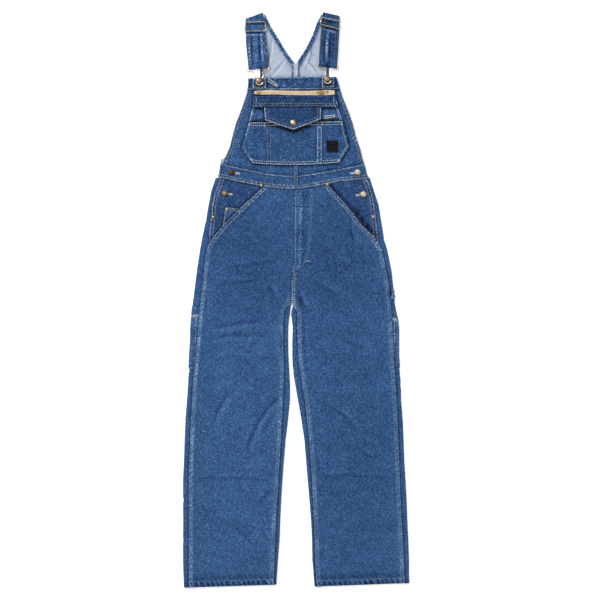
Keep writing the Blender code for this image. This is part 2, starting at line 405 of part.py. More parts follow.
FACING_LEFT = [
    (181.3, 321.9, 84.9, 308.4, 0.0, 0, 0.0, 0, LEVEL_FRONT + CLOTH / 2, CLOTH),
    (181.9, 315.6, 83.3, 301.3, 0.0, 0, 0.0, 0, LEVEL_FRONT + CLOTH / 2, CLOTH),
    (186.6, 307.8, 89.8, 294.3, 3.6, 1.5, 0.0, 0, LEVEL_FRONT + CLOTH / 2, CLOTH),
    (191.2, 292.8, 90.4, 275.9, 6.2, 1.5, 0.0, 0, LEVEL_FRONT + CLOTH / 2, CLOTH),
    (196.4, 278.2, 104.1, 254.8, 10.9, 1.5, 0.0, 0, LEVEL_FRONT + CLOTH / 2, CLOTH),
    (202.2, 247.0, 128.8, 226.2, 10.9, 1.5, 0.0, 0, LEVEL_FRONT + CLOTH / 2, CLOTH),
    (206.3, 215.8, 150.2, 197.1, 10.9, 1.5, 0.0, 0, LEVEL_FRONT + CLOTH / 2, CLOTH),
    (209.4, 184.6, 177.2, 174.2, 31.2, 1.5, 0.0, 1.5, LEVEL_FRONT + CLOTH / 2, CLOTH),
    (211.5, 163.8, 192.5, 154.2, 12.0, 1.5, 0.0, 1.5, LEVEL_FRONT + CLOTH / 2, CLOTH),
    (214.9, 149.2, 206.3, 143.5, 5.2, 1.5, 0.0, 1.5, LEVEL_FRONT + CLOTH / 2, CLOTH),
]
# The largest soft folds of the leg fronts: (x, y) of both ends, height, half width.
FRONT_FOLDS = [
    (-57.9, -234.0, -156.7, -395.2, 1.8, 26.0),
    (-182.7, -223.6, -234.7, -343.2, 1.3, 23.4),
    (-239.8, -98.8, -89.0, -67.6, 1.4, 20.8),
    (-31.9, -135.2, -156.7, -176.8, 1.2, 23.4),
    (25.4, 62.4, 139.8, 5.2, 1.3, 23.4),
    (46.1, -239.2, 171.0, -332.8, 1.2, 28.6),
    (-213.8, 130.0, -63.1, 62.4, 1.2, 31.2),
    (197.0, 98.8, 56.6, 124.8, 1.0, 31.2),
    (87.8, -442.0, 197.0, -395.2, 0.9, 26.0),
]
SLOPE = 9.0  # over this length a lapped edge comes down to the rest of the panel


def soft_fold(x, y):
    """How far the broad folds lift the cloth here."""
    lift = 0.0
    for x0, y0, x1, y1, height, half_width in FRONT_FOLDS:
        length = math.hypot(x1 - x0, y1 - y0)
        ux, uy = (x1 - x0) / length, (y1 - y0) / length
        along = (x - x0) * ux + (y - y0) * uy
        away = abs((x - x0) * uy - (y - y0) * ux)
        if away < half_width and 0 < along < length:
            across_share = math.cos(away / half_width * math.pi / 2) ** 2
            lift += height * across_share * math.sin(along / length * math.pi) ** 0.7
    return lift


def lapped_panel(name, table, middles, folds=False):
    """A panel whose side edges rise over the pieces that they lap."""
    grid = []
    for xa, ya, xb, yb, lap_a, rise_a, lap_b, rise_b, height, _ in table:
        length = math.hypot(xb - xa, yb - ya)
        near, far = lap_a + 1.5, lap_b + 1.5
        shrink = min(1.0, 0.42 * length / (max(near, far) + SLOPE))
        steps = [(0.0, rise_a), (near * shrink, rise_a), ((near + SLOPE) * shrink, 0.0)]
        ends = [(length - (far + SLOPE) * shrink, 0.0), (length - far * shrink, rise_b), (length, rise_b)]
        first, last = steps[-1][0], ends[0][0]
        # A row no longer than its lap stays up all along.
        middle = min(rise_a, rise_b) if length < near + SLOPE else 0.0
        steps[-1], ends[0] = (first, middle), (last, middle)
        between = [(first + (last - first) * (k + 1) / (middles + 1), middle) for k in range(middles)]
        row = []
        for along, rise in steps + between + ends:
            x, y = xa + (xb - xa) * along / length, ya + (yb - ya) * along / length
            inside = folds and (along, rise) in between
            row.append((x, y, height + rise + (soft_fold(x, y) if inside else 0.0)))
        grid.append(row)
    return shell(name, grid, [row[9] for row in table], "denim")


def make_legs():
    back_leg("back_leg_right", BACK_LEG_RIGHT)
    back_leg("back_leg_left", BACK_LEG_LEFT)
    lapped_panel("front_leg_right", FRONT_LEG_RIGHT, 5, folds=True)
    lapped_panel("front_leg_left", FRONT_LEG_LEFT, 5, folds=True)
    lapped_panel("pocket_facing_right", FACING_RIGHT, 1)
    lapped_panel("pocket_facing_left", FACING_LEFT, 1)


# ---------------------------------------------------------------- pieces on the sides of the legs

# Pieces sewn on the back panel where it comes round the outer fold: y, x of the edge on the front.
TOOL_POCKET_RIGHT = [
    (-30.7, 1.3, -252.9),
    (-41.6, -33.8, -253.9),
    (-72.8, -72.8, -256.5),
    (-104.0, -104.0, -259.6),
    (-143.0, -143.0, -262.7),
    (-179.4, -179.4, -266.4),
]
TOOL_POCKET_LEFT = [
    (-45.0, -42.9, 252.9),
    (-72.8, -72.8, 253.4),
    (-104.0, -104.0, 253.6),
    (-143.0, -143.0, 255.5),
    (-176.8, -176.8, 257.3),
]
HAMMER_LOOP = [
    (30.4, 27.8, 244.8),
    (15.6, 14.3, 246.1),
    (2.6, 1.3, 247.1),
]
ROUND_TO = -32.0  # degrees: it stops there, just above the surface that the garment lies on


def side_piece(name, table, leg):
    """A piece on the outer fold of a leg: the back panel's own section, moved out by one layer."""
    ys = [-row[0] for row in leg]
    outward = 1 if leg[0][2] > leg[0][4] else -1
    radius = (CLOTH + INSIDE_LEG) / 2 + CLOTH + SEAM_GAP + 0.1
    grid = []
    for y_front, y_fold, x_front in table:
        edge = float(np.interp(-y_fold, ys, [row[2] for row in leg]))
        centre = edge - outward * (CLOTH + INSIDE_LEG / 2)
        height = CLOTH + INSIDE_LEG / 2
        row = [
            (x_front, y_front, height + radius),
            ((x_front + centre) / 2, (y_front + y_fold) / 2, height + radius),
        ]
        for k in range(7):
            a = math.radians(90 + (ROUND_TO - 90) * k / 6)
            row.append((centre + outward * radius * math.cos(a), y_fold, height + radius * math.sin(a)))
        grid.append(row)
    return shell(name, grid, CLOTH, "denim")


def make_side_pieces():
    side_piece("tool_pocket_right", TOOL_POCKET_RIGHT, BACK_LEG_RIGHT)
    side_piece("tool_pocket_left", TOOL_POCKET_LEFT, BACK_LEG_LEFT)
    side_piece("hammer_loop", HAMMER_LOOP, BACK_LEG_LEFT)


# ---------------------------------------------------------------- waist, fly and bib

# Flat pieces: rows of one end (x, y), other end (x, y), and where needed the bow of the middle.
BACK_BIB_RIGHT = [
    (-126.8, 717.2, -69.0, 717.2),
    (-124.2, 707.2, -63.1, 707.2),
    (-119.0, 686.4, -50.1, 686.4),
    (-109.9, 655.2, -31.9, 655.2),
    (-103.4, 631.8, -16.2, 631.8),
    (-99.5, 617.5, -4.8, 617.5),
    (-98.2, 613.6, -1.5, 613.6),
    (-94.2, 592.8, -1.5, 592.8),
    (-94.2, 579.8, -1.5, 579.8),
    (-102.0, 546.0, -1.5, 546.0),
    (-120.2, 494.0, -1.5, 494.0),
    (-141.1, 442.0, -1.5, 442.0),
    (-163.2, 395.2, -1.5, 395.2),
    (-177.5, 369.2, -1.5, 369.2),
    (-196.7, 366.1, -1.5, 366.1),
    (-197.0, 351.0, -1.5, 351.0),
    (-205.3, 318.5, -1.5, 318.5),
]
BACK_BIB_LEFT = [
    (52.4, 717.2, 109.3, 717.2),
    (48.8, 707.2, 106.0, 707.2),
    (41.0, 686.4, 102.0, 686.4),
    (25.4, 655.2, 95.5, 655.2),
    (11.6, 631.8, 91.7, 631.8),
    (2.0, 617.5, 88.3, 617.5),
    (-1.1, 613.6, 87.5, 613.6),
    (-1.1, 592.8, 85.2, 592.8),
    (-1.1, 579.8, 85.2, 579.8),
    (-1.1, 546.0, 93.0, 546.0),
    (-1.1, 494.0, 108.5, 494.0),
    (-1.1, 442.0, 126.8, 442.0),
    (-1.1, 395.2, 145.0, 395.2),
    (-1.1, 351.0, 169.7, 351.0),
    (-1.1, 318.5, 189.2, 318.5),
]
V_HEM_RIGHT = [
    (-77.4, 710.6, -68.0, 716.0),
    (-72.7, 700.4, -63.1, 707.2),
    (-59.7, 679.9, -50.1, 686.4),
    (-41.5, 648.7, -31.9, 655.2),
    (-26.1, 625.3, -16.2, 631.8),
    (-17.8, 614.6, -9.5, 623.0),
]
V_HEM_LEFT = [
    (51.6, 715.5, 59.9, 709.8),
    (48.8, 707.2, 58.4, 700.4),
    (41.0, 686.4, 50.8, 680.2),
    (25.4, 655.2, 35.2, 648.4),
    (12.3, 634.4, 22.2, 627.4),
    (6.9, 625.6, 16.0, 617.8),
]
BACK_CENTRE_SEAM = [
    (-8.5, 615.7, 5.9, 615.7),
    (-8.5, 546.0, 5.9, 546.0),
    (-8.5, 319.8, 5.9, 319.8),
]
BIB_RIGHT = [
    (-125.5, 575.9, -0.5, 578.0),
    (-125.2, 561.6, -0.5, 561.6),
    (-128.1, 540.8, -0.5, 540.8),
    (-134.8, 520.0, -0.5, 520.0),
    (-145.7, 488.8, -0.5, 488.8),
    (-158.2, 457.6, -0.5, 457.6),
    (-166.3, 426.4, -0.5, 426.4),
    (-174.3, 395.2, -0.5, 395.2),
    (-184.0, 374.4, -0.5, 371.8),
    (-191.0, 358.8, -0.5, 340.6),
    (-194.3, 343.2, -0.5, 310.7),
]
BIB_LEFT = [
    (-0.2, 578.0, 104.7, 579.8),
    (-0.2, 561.6, 111.2, 561.6),
    (-0.2, 540.8, 116.4, 540.8),
    (-0.2, 520.0, 123.9, 520.0),
    (-0.2, 488.8, 136.9, 488.8),
    (-0.2, 457.6, 147.6, 457.6),
    (-0.2, 426.4, 155.3, 426.4),
    (-0.2, 395.2, 165.8, 395.2),
    (-0.2, 371.8, 171.0, 374.4),
    (-0.2, 340.6, 175.6, 358.8),
    (-0.2, 310.7, 178.8, 341.9),
]
BIB_TOP_BAND = [
    (-125.2, 576.2, 104.7, 579.8),
    (-125.5, 561.6, 110.9, 561.6),
    (-127.0, 546.3, 114.8, 547.6),
]
BUTTON_PATCH_RIGHT = [
    (-111.9, 575.4, -78.7, 575.9),
    (-113.0, 551.2, -78.7, 551.2),
]
BUTTON_PATCH_LEFT = [
    (67.0, 578.2, 98.2, 578.8),
    (67.0, 552.5, 98.2, 552.5),
]
ZIP_TAPE = [
    (-110.4, 545.0, 99.7, 546.0, 0.8),
    (-110.4, 531.2, 101.8, 531.7, 0.5),
]
ZIP_BAND = [
    (-110.1, 529.9, 103.4, 530.4, 0.5),
    (-112.7, 500.5, 108.3, 501.0),
]
POCKET_BACK = [
    (-110.1, 529.9, 103.4, 530.4, 0.5),
    (-112.7, 500.8, 108.0, 502.6),
    (-123.4, 460.7, 120.2, 462.0),
    (-141.3, 394.2, 136.4, 398.1),
    (-114.5, 357.5, 112.7, 359.3, -4.2),
    (-109.9, 354.6, 109.1, 356.7, -4.7),
]
POCKET_FRONT = [
    (-123.1, 461.2, 120.0, 464.4),
    (-141.3, 394.2, 136.4, 398.1),
    (-114.5, 357.5, 112.7, 359.3, -4.2),
    (-109.9, 354.6, 109.1, 356.7, -4.7),
]
POCKET_DIVIDER = [
    (54.5, 449.8, 66.4, 449.8),
    (54.5, 356.2, 66.4, 356.2),
]
LABEL = [
    (77.9, 414.4, 108.8, 415.0),
    (78.4, 383.2, 109.6, 383.8),
]
COIN_POCKET = [
    (-183.4, 240.5, -148.3, 237.6),
    (-190.7, 207.5, -165.5, 203.8),
]
FLY_PLACKET = [
    (-3.2, 287.0, 17.6, 287.0),
    (-3.2, 195.0, 17.6, 195.0),
    (-3.5, 98.8, 17.0, 98.8),
    (-7.9, 83.2, 8.5, 80.6),
    (-9.5, 74.1, -0.7, 72.8),
]
# The waistband's two halves: upper edge and lower edge, point by point.
WAISTBAND_RIGHT = (
    [(-197.5, 353.6), (-146.2, 342.4), (-81.2, 328.4), (-42.2, 323.4), (-0.5, 321.4)],
    [(-201.6, 319.8), (-144.4, 306.8), (-89.6, 296.1), (-42.2, 290.4), (-0.5, 288.3)],
)
WAISTBAND_LEFT = (
    [(-0.2, 321.4), (48.8, 328.4), (100.8, 337.2), (139.8, 344.8), (178.0, 352.8)],
    [(-0.2, 288.3), (48.8, 295.6), (108.5, 308.1), (147.6, 312.0), (186.3, 316.9)],
)
# The bib pocket's flap: points along its sewn edge and its free edge.
FLAP_SEWN = [(-83.1, 499.2), (-44.9, 499.2), (-8.5, 499.2), (27.9, 499.5), (64.4, 499.5)]
FLAP_FREE = [(-80.2, 466.7), (-44.9, 454.0), (-7.2, 442.3), (29.0, 455.8), (63.8, 470.1)]
# How far along from the sewn edge, and the height of the flap's underside there.
FLAP_RISE = ((0.0, LEVEL_B), (0.36, LEVEL_C), (0.82, LEVEL_C + 0.3), (1.0, LEVEL_C + 1.8))
# The strip over the centre-front seam: y, x of both edges, height of its underside.
FRONT_CENTRE_SEAM = [
    (348.7, -5.9, 4.5, LEVEL_A),
    (332.8, -5.9, 4.5, LEVEL_A),
    (324.0, -5.9, 4.5, LEVEL_B),
    (288.9, -5.9, 4.5, LEVEL_B),
]


def make_body():
    flat_panel("back_bib_right", BACK_BIB_RIGHT, LEVEL_BACK, "denim_inside")
    flat_panel("back_bib_left", BACK_BIB_LEFT, LEVEL_BACK, "denim_inside")
    flat_panel("v_hem_right", V_HEM_RIGHT, LEVEL_ON_BACK)
    flat_panel("v_hem_left", V_HEM_LEFT, LEVEL_ON_BACK)
    flat_panel("back_centre_seam", BACK_CENTRE_SEAM, LEVEL_ON_BACK, "denim_inside")
    flat_panel("bib_right", BIB_RIGHT, LEVEL_FRONT, across=3)
    flat_panel("bib_left", BIB_LEFT, LEVEL_FRONT, across=3)
    flat_panel("bib_top_band", BIB_TOP_BAND, LEVEL_A, across=4)
    flat_panel("button_patch_right", BUTTON_PATCH_RIGHT, LEVEL_B)
    flat_panel("button_patch_left", BUTTON_PATCH_LEFT, LEVEL_B)
    flat_panel("zip_tape", ZIP_TAPE, LEVEL_A, "zip_tape", across=4, wall=TAPE)
    flat_panel("zip_band", ZIP_BAND, LEVEL_B, across=4)
    flat_panel("bib_pocket_back", POCKET_BACK, LEVEL_A, across=6)
    flat_panel("bib_pocket_front", POCKET_FRONT, LEVEL_B, across=6)
    flat_panel("pocket_divider", POCKET_DIVIDER, LEVEL_C)
    flat_panel("label", LABEL, LEVEL_C, "label", wall=TAPE)
    flat_panel("coin_pocket", COIN_POCKET, LEVEL_A)
    flat_panel("fly_placket", FLY_PLACKET, LEVEL_A)
    band("waistband_right", *WAISTBAND_RIGHT, LEVEL_A)
    band("waistband_left", *WAISTBAND_LEFT, LEVEL_A)
    flap = [
        [
            (xs + (xf - xs) * share, ys + (yf - ys) * share, under + CLOTH / 2)
            for (xs, ys), (xf, yf) in zip(FLAP_SEWN, FLAP_FREE)
        ]
        for share, under in FLAP_RISE
    ]
    shell("pocket_flap", flap, CLOTH, "denim")
    seam = [
        [(xa, y, under + CLOTH / 2), (xb, y, under + CLOTH / 2)]
        for y, xa, xb, under in FRONT_CENTRE_SEAM
    ]
    shell("front_centre_seam", seam, CLOTH, "denim")


# ---------------------------------------------------------------- straps and their hardware

# Rows along a strap: both ends (x, y) and the height of the middle of its wall.
STRAP_RIGHT = {
    "back_arm": [
        (-127.3, 717.6, -69.3, 717.6, 0.6),
        (-131.2, 722.3, -77.6, 731.6, 0.6),
        (-133.8, 727.5, -85.7, 744.4, 0.6),
    ],
    "front": [
        (-133.8, 727.5, -85.7, 744.4, 5.6),
        (-132.7, 715.0, -82.8, 717.6, 5.6),
        (-132.5, 696.8, -79.7, 696.8, 5.6),
        (-130.7, 660.4, -75.0, 660.4, 5.9),
        (-127.0, 629.2, -71.4, 629.2, 6.5),
        (-124.4, 599.8, -72.7, 606.1, 6.9),
    ],
    "under": [
        (-124.4, 599.8, -72.7, 606.1, 2.6),
        (-129.9, 650.0, -74.0, 650.0, 2.6),
        (-132.5, 707.2, -80.7, 707.2, 2.6),
    ],
}
STRAP_LEFT = {
    "back_arm": [
        (52.9, 717.6, 109.3, 717.6, 0.6),
        (61.8, 734.5, 111.9, 725.4, 0.6),
        (67.7, 745.7, 113.8, 735.3, 0.6),
    ],
    "front": [
        (67.7, 745.7, 113.8, 735.3, 5.6),
        (66.4, 726.7, 113.2, 717.6, 5.6),
        (64.1, 709.8, 113.2, 699.4, 5.6),
        (61.5, 676.0, 112.2, 670.8, 5.9),
        (61.0, 634.4, 109.1, 634.4, 6.5),
        (57.9, 610.2, 107.5, 603.2, 6.9),
    ],
    "under": [
        (57.9, 610.2, 107.5, 603.2, 2.6),
        (61.5, 665.6, 110.9, 665.6, 2.6),
        (64.9, 718.9, 112.7, 708.5, 2.6),
    ],
}
# The wire of each hook as one closed loop: bar in the strap, arm, slot round the button, arm.
HOOK_RIGHT = [
    (-127.3, 599.6, 4.75),
    (-128.3, 596.2, 4.9),
    (-124.9, 593.3, 5.2),
    (-114.0, 591.8, 6.2),
    (-108.8, 588.1, 7.4),
    (-108.5, 582.4, 8.7),
    (-104.9, 575.6, 8.7),
    (-103.1, 569.4, 8.7),
    (-102.3, 561.6, 8.7),
    (-96.3, 556.7, 8.7),
    (-89.8, 561.6, 8.7),
    (-88.8, 569.4, 8.7),
    (-88.5, 576.2, 8.7),
    (-84.9, 583.4, 8.7),
    (-88.5, 591.2, 7.2),
    (-82.8, 597.2, 5.8),
    (-72.4, 599.8, 5.0),
    (-69.5, 603.2, 4.8),
    (-70.1, 606.3, 4.75),
    (-98.7, 602.9, 4.75),
]
HOOK_LEFT = [
    (55.2, 610.7, 4.75),
    (54.2, 607.6, 4.8),
    (57.9, 604.0, 5.1),
    (68.2, 602.2, 6.0),
    (74.5, 596.4, 7.2),
    (75.8, 588.1, 8.7),
    (74.5, 580.6, 8.7),
    (74.8, 572.0, 8.7),
    (75.5, 565.5, 8.7),
    (81.8, 561.1, 8.7),
    (88.3, 565.5, 8.7),
    (88.8, 572.0, 8.7),
    (89.3, 580.1, 8.7),
    (91.9, 585.5, 8.7),
    (90.4, 592.3, 7.4),
    (95.5, 597.0, 6.2),
    (107.0, 597.0, 5.2),
    (110.6, 599.3, 4.9),
    (110.1, 602.9, 4.75),
    (82.5, 606.8, 4.75),
]
# The wire frame of each slide, and the bar behind the strap.
SLIDE_RIGHT = [
    (-133.2, 721.2, 7.5),
    (-107.2, 722.0, 7.5),
    (-82.3, 722.5, 7.5),
    (-79.4, 717.1, 7.5),
    (-80.2, 710.3, 7.5),
    (-78.9, 703.8, 7.5),
    (-82.3, 698.4, 7.5),
    (-107.2, 698.6, 7.5),
    (-133.2, 697.8, 7.5),
    (-135.8, 703.6, 7.5),
    (-134.8, 709.8, 7.5),
    (-136.1, 715.8, 7.5),
]
SLIDE_BAR_RIGHT = [
    (-135.3, 709.8, 7.3),
    (-136.6, 709.8, 5.6),
    (-135.8, 709.8, 4.4),
    (-131.7, 709.8, 4.0),
    (-107.2, 710.1, 4.0),
    (-83.1, 710.3, 4.0),
    (-78.7, 710.3, 4.4),
    (-78.1, 710.3, 5.6),
    (-79.7, 710.3, 7.3),
]
SLIDE_LEFT = [
    (68.0, 734.0, 7.5),
    (91.9, 729.0, 7.5),
    (114.3, 724.4, 7.5),
    (116.9, 718.6, 7.5),
    (115.0, 713.7, 7.5),
    (116.4, 708.0, 7.5),
    (112.2, 703.6, 7.5),
    (88.3, 709.8, 7.5),
    (64.9, 715.8, 7.5),
    (62.5, 720.7, 7.5),
    (64.6, 725.4, 7.5),
    (64.1, 730.9, 7.5),
]
SLIDE_BAR_LEFT = [
    (64.1, 725.4, 7.3),
    (62.5, 725.7, 5.6),
    (63.3, 725.7, 4.4),
    (68.0, 724.6, 4.0),
    (90.4, 719.4, 4.0),
    (111.9, 714.5, 4.0),
    (116.4, 713.4, 4.4),
    (117.1, 713.2, 5.6),
    (115.6, 713.7, 7.3),
]
# Buttons: name, x, y, height of the cloth under them, radius, shank height.
BUTTONS = [
    ("bib_button_right", -95.5, 568.6, LEVEL_B + CLOTH, BIB_BUTTON, 2.9, "bronze"),
    ("bib_button_left", 81.5, 572.5, LEVEL_B + CLOTH, BIB_BUTTON, 2.9, "bronze"),
    ("side_button_right_upper", -167.6, 331.2, LEVEL_A + CLOTH, SIDE_BUTTON, 0.6, "bronze"),
    ("side_button_right_lower", -185.0, 276.6, LEVEL_FRONT + CLOTH + 0.3, SIDE_BUTTON, 0.6, "bronze"),
    ("side_button_left_upper", 160.0, 331.8, LEVEL_A + CLOTH, SIDE_BUTTON, 0.6, "bronze"),
    ("side_button_left_lower", 175.1, 274.6, LEVEL_FRONT + CLOTH + 0.5, SIDE_BUTTON, 0.6, "bronze"),
    ("flap_button", -7.9, 460.7, LEVEL_C + CLOTH + 0.3, FLAP_BUTTON, 0.3, "brass"),
]
# Rivets: name, x, y, height of the cloth under them.
RIVETS = [
    ("rivet_right_front", -90.4, 297.7, LEVEL_A + CLOTH),
    ("rivet_left_front", 81.2, 300.3, LEVEL_A + CLOTH),
    ("rivet_right_side", -215.4, 215.3, LEVEL_A + CLOTH),
    ("rivet_left_side", 200.1, 215.8, LEVEL_A + CLOTH),
    ("rivet_coin_pocket", -179.3, 235.6, LEVEL_A + CLOTH),
]


def button(name, x, y, cloth, radius, shank, slot):
    z = cloth + SEAM_GAP
    profile = [(0, z), (2.6, z), (2.6, z + shank), (radius * 0.9, z + shank), (radius, z + shank + 0.7)]
    profile += [(radius * 0.82, z + shank + 1.5), (radius * 0.45, z + shank + 2.2), (0, z + shank + 2.4)]
    turned(name, x, y, profile, slot)


def make_straps():
    strap("strap_right", **STRAP_RIGHT)
    strap("strap_left", **STRAP_LEFT)
    tube("hook_right", HOOK_RIGHT, HOOK_WIRE, "brass")
    tube("hook_left", HOOK_LEFT, HOOK_WIRE, "brass")
    for side, frame, bar in (("right", SLIDE_RIGHT, SLIDE_BAR_RIGHT), ("left", SLIDE_LEFT, SLIDE_BAR_LEFT)):
        ring = tube(f"slide_{side}", frame, SLIDE_WIRE, "brass")
        join(ring, tube(f"slide_bar_{side}", bar, SLIDE_BAR, "brass", closed=False))


def make_fastenings():
    for name, x, y, cloth, radius, shank, slot in BUTTONS:
        button(name, x, y, cloth, radius, shank, slot)
    for name, x, y, cloth in RIVETS:
        z = cloth + SEAM_GAP
        dome = [(0, z), (RIVET, z), (RIVET * 0.93, z + 0.8), (RIVET * 0.5, z + 1.4), (0, z + 1.5)]
        turned(name, x, y, dome, "brass", 12)


# ---------------------------------------------------------------- zip slider and pull

SLIDER_AT = (68.5, 539.2)
SLIDER_HALF = (5.0, 3.6)
SLIDER_LOW, SLIDER_TOP = LEVEL_A + TAPE + SEAM_GAP, LEVEL_A + TAPE + SEAM_GAP + 2.6
BAIL_HALF_LENGTH, BAIL_HALF_WIDTH, BAIL_LEG, BAIL_THICK = 3.2, 0.8, 0.9, 0.8
PIVOT_RISE = 1.0  # the pull's cross bar above the slider
PULL_BAR, PULL_THICK = 0.6, 1.2
PULL_INNER, PULL_HALF_WIDTH, PULL_LENGTH = 1.6, 3.0, 15.0


def make_zip_pull():
    x, y = SLIDER_AT
    pivot = SLIDER_TOP + PIVOT_RISE
    ceiling = SLIDER_TOP + 2 * PIVOT_RISE
    body = box(
        "zip_slider",
        (x - SLIDER_HALF[0], y - SLIDER_HALF[1], SLIDER_LOW),
        (x + SLIDER_HALF[0], y + SLIDER_HALF[1], SLIDER_TOP),
        "brass",
    )
    legs = []
    for side in (-1, 1):
        middle = x + side * (BAIL_HALF_LENGTH - BAIL_LEG / 2)
        low = (middle - BAIL_LEG / 2, y - BAIL_HALF_WIDTH, SLIDER_TOP - 0.5)
        high = (middle + BAIL_LEG / 2, y + BAIL_HALF_WIDTH, ceiling + 0.3)
        legs.append(box(f"bail_leg_{side}", low, high, "brass"))
    bridge = box(
        "bail_bridge",
        (x - BAIL_HALF_LENGTH - 0.1, y - BAIL_HALF_WIDTH - 0.1, ceiling),
        (x + BAIL_HALF_LENGTH + 0.1, y + BAIL_HALF_WIDTH + 0.1, ceiling + BAIL_THICK),
        "brass",
    )
    join(body, *legs, bridge)
    bar = box(
        "pull_bar",
        (x - PULL_BAR, y - PULL_HALF_WIDTH + 0.2, pivot - PULL_BAR),
        (x + PULL_BAR, y + PULL_HALF_WIDTH - 0.2, pivot + PULL_BAR),
        "brass",
    )
    arms = []
    for side in (-1, 1):
        low_y = PULL_INNER if side > 0 else -PULL_HALF_WIDTH
        low = (x - 6.4, y + low_y, pivot - PULL_THICK / 2 - 0.05)
        high = (x + 0.6, y + low_y + PULL_HALF_WIDTH - PULL_INNER, pivot + PULL_THICK / 2 + 0.05)
        arms.append(box(f"pull_arm_{side}", low, high, "brass"))
    tab = box(
        "zip_pull",
        (x - PULL_LENGTH, y - PULL_HALF_WIDTH - 0.1, pivot - PULL_THICK / 2),
        (x - 5.4, y + PULL_HALF_WIDTH + 0.1, pivot + PULL_THICK / 2),
        "brass",
    )
    join(tab, *arms, bar)


def main():
    clear_scene()
    make_legs()
    make_side_pieces()
    make_body()
    make_straps()
    make_fastenings()
    make_zip_pull()


main()
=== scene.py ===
"""Denim dungarees laid flat, dressed in washed twill, sewn seams and brass hardware.

Every cloth piece is a fine shell on its solid's form, with its puckers and creases as real
relief and its thread as real stitches. Lengths are millimetres unless a comment says otherwise.
"""

import logging
import math
from dataclasses import dataclass, field, replace
from enum import Enum
from typing import Any, Iterable, Sequence

import bmesh
import bpy
import numpy as np
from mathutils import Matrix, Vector
from mathutils.bvhtree import BVHTree


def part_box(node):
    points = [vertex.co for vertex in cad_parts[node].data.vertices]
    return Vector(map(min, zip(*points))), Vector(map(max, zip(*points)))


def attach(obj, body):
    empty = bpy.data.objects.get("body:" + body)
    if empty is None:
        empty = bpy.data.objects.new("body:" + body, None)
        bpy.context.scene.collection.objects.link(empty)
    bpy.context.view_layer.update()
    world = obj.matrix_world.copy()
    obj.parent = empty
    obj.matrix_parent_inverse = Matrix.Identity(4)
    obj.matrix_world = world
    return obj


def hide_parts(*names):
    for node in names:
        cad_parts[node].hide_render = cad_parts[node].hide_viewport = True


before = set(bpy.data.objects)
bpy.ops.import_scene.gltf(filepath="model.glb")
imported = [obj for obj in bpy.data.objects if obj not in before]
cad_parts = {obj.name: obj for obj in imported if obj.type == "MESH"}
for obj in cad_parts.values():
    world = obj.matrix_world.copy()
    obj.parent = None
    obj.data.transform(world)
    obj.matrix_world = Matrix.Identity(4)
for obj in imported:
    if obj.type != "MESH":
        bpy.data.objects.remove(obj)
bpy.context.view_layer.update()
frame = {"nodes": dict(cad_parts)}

log = logging.getLogger("dungarees")
MM = 0.001
CLOTH = 1.2  # one layer of denim
AIR = 0.22  # what relief leaves free between two pieces
ROOM = 9.0  # how far a piece looks for its neighbours
PROBE = 60.0  # rays start this far above the ground, or below it
FAR = 900.0  # a line made this much longer runs past every piece
LATTICE = 64  # cells after which the noise repeats
BAND = 0.314  # the pitch of a wave texture's bands at scale 1
RIM = (0.0, 0.7, 1.6, 2.8, 4.4, 6.2, 8.2, 10.6)  # grid lines by an edge, counted from it
GARMENT = "garment"
Point = tuple[float, float]
Array = np.ndarray
Pair = tuple[Array, Array]
Trio = tuple[Array, Array, Array]
Socket = bpy.types.NodeSocket
Tree = bpy.types.NodeTree
Piece = bpy.types.Object


# ---- colour and nodes


def linear(hex_colour: str) -> tuple[float, ...]:
    """Turns six hex digits of sRGB into linear RGBA."""
    srgb = [int(hex_colour[k : k + 2], 16) / 255 for k in (0, 2, 4)]
    return (*(c / 12.92 if c <= 0.04045 else ((c + 0.055) / 1.055) ** 2.4 for c in srgb), 1.0)


def feed(tree: Tree, node: bpy.types.Node, inputs: dict[str | int, Any]) -> None:
    """Sets or links some of a node's inputs.

    Args:
        tree: The material's node tree.
        node: The node.
        inputs: Socket name or number to a value, or to the output socket that feeds it.
    """
    for key, value in inputs.items():
        if isinstance(value, Socket):
            tree.links.new(value, node.inputs[key])
        else:
            node.inputs[key].default_value = value


def add_node(
    tree: Tree, kind: str, inputs: dict[str | int, Any] | None = None, **settings: Any
) -> bpy.types.Node:
    """Adds one node with its settings, values and links.

    Args:
        tree: The material's node tree.
        kind: The node's type name.
        inputs: Socket name or number to a value, or to the output socket that feeds it.
        settings: Attributes of the node.

    Returns:
        The new node.
    """
    node = tree.nodes.new(kind)
    for key, value in settings.items():
        setattr(node, key, value)
    feed(tree, node, inputs or {})
    return node


def combine(tree: Tree, operation: str, first: Any, second: Any) -> Socket:
    """Puts one Math operation on two values or output sockets."""
    return add_node(tree, "ShaderNodeMath", {0: first, 1: second}, operation=operation).outputs[0]


def attribute(tree: Tree, name: str) -> Socket:
    """Reads a value that the mesh carries."""
    return add_node(tree, "ShaderNodeAttribute", attribute_name=name).outputs["Fac"]


def stretched(tree: Tree, where: Socket, cell: Point) -> Socket:
    """Scales coordinates so that a pattern's unit gets a width and a length."""
    scale = (1 / cell[0], 1 / cell[1], 1.0)
    return add_node(tree, "ShaderNodeMapping", {"Vector": where, "Scale": scale}).outputs[0]


def noise(tree: Tree, where: Socket, scale: float, detail: float, **more: float) -> Socket:
    """Adds a noise texture with its scale, its octaves and any other input by name."""
    inputs = {"Vector": where, "Scale": scale, "Detail": detail, **more}
    return add_node(tree, "ShaderNodeTexNoise", inputs).outputs["Fac"]


def ribs(tree: Tree, where: Socket, pitch: float, axis: str, bend: dict[str, float]) -> Socket:
    """Adds ribs that follow one another on an axis, bent by the wave texture's other inputs."""
    inputs = {"Vector": where, "Scale": BAND / pitch, **bend}
    return add_node(tree, "ShaderNodeTexWave", inputs, bands_direction=axis).outputs["Fac"]


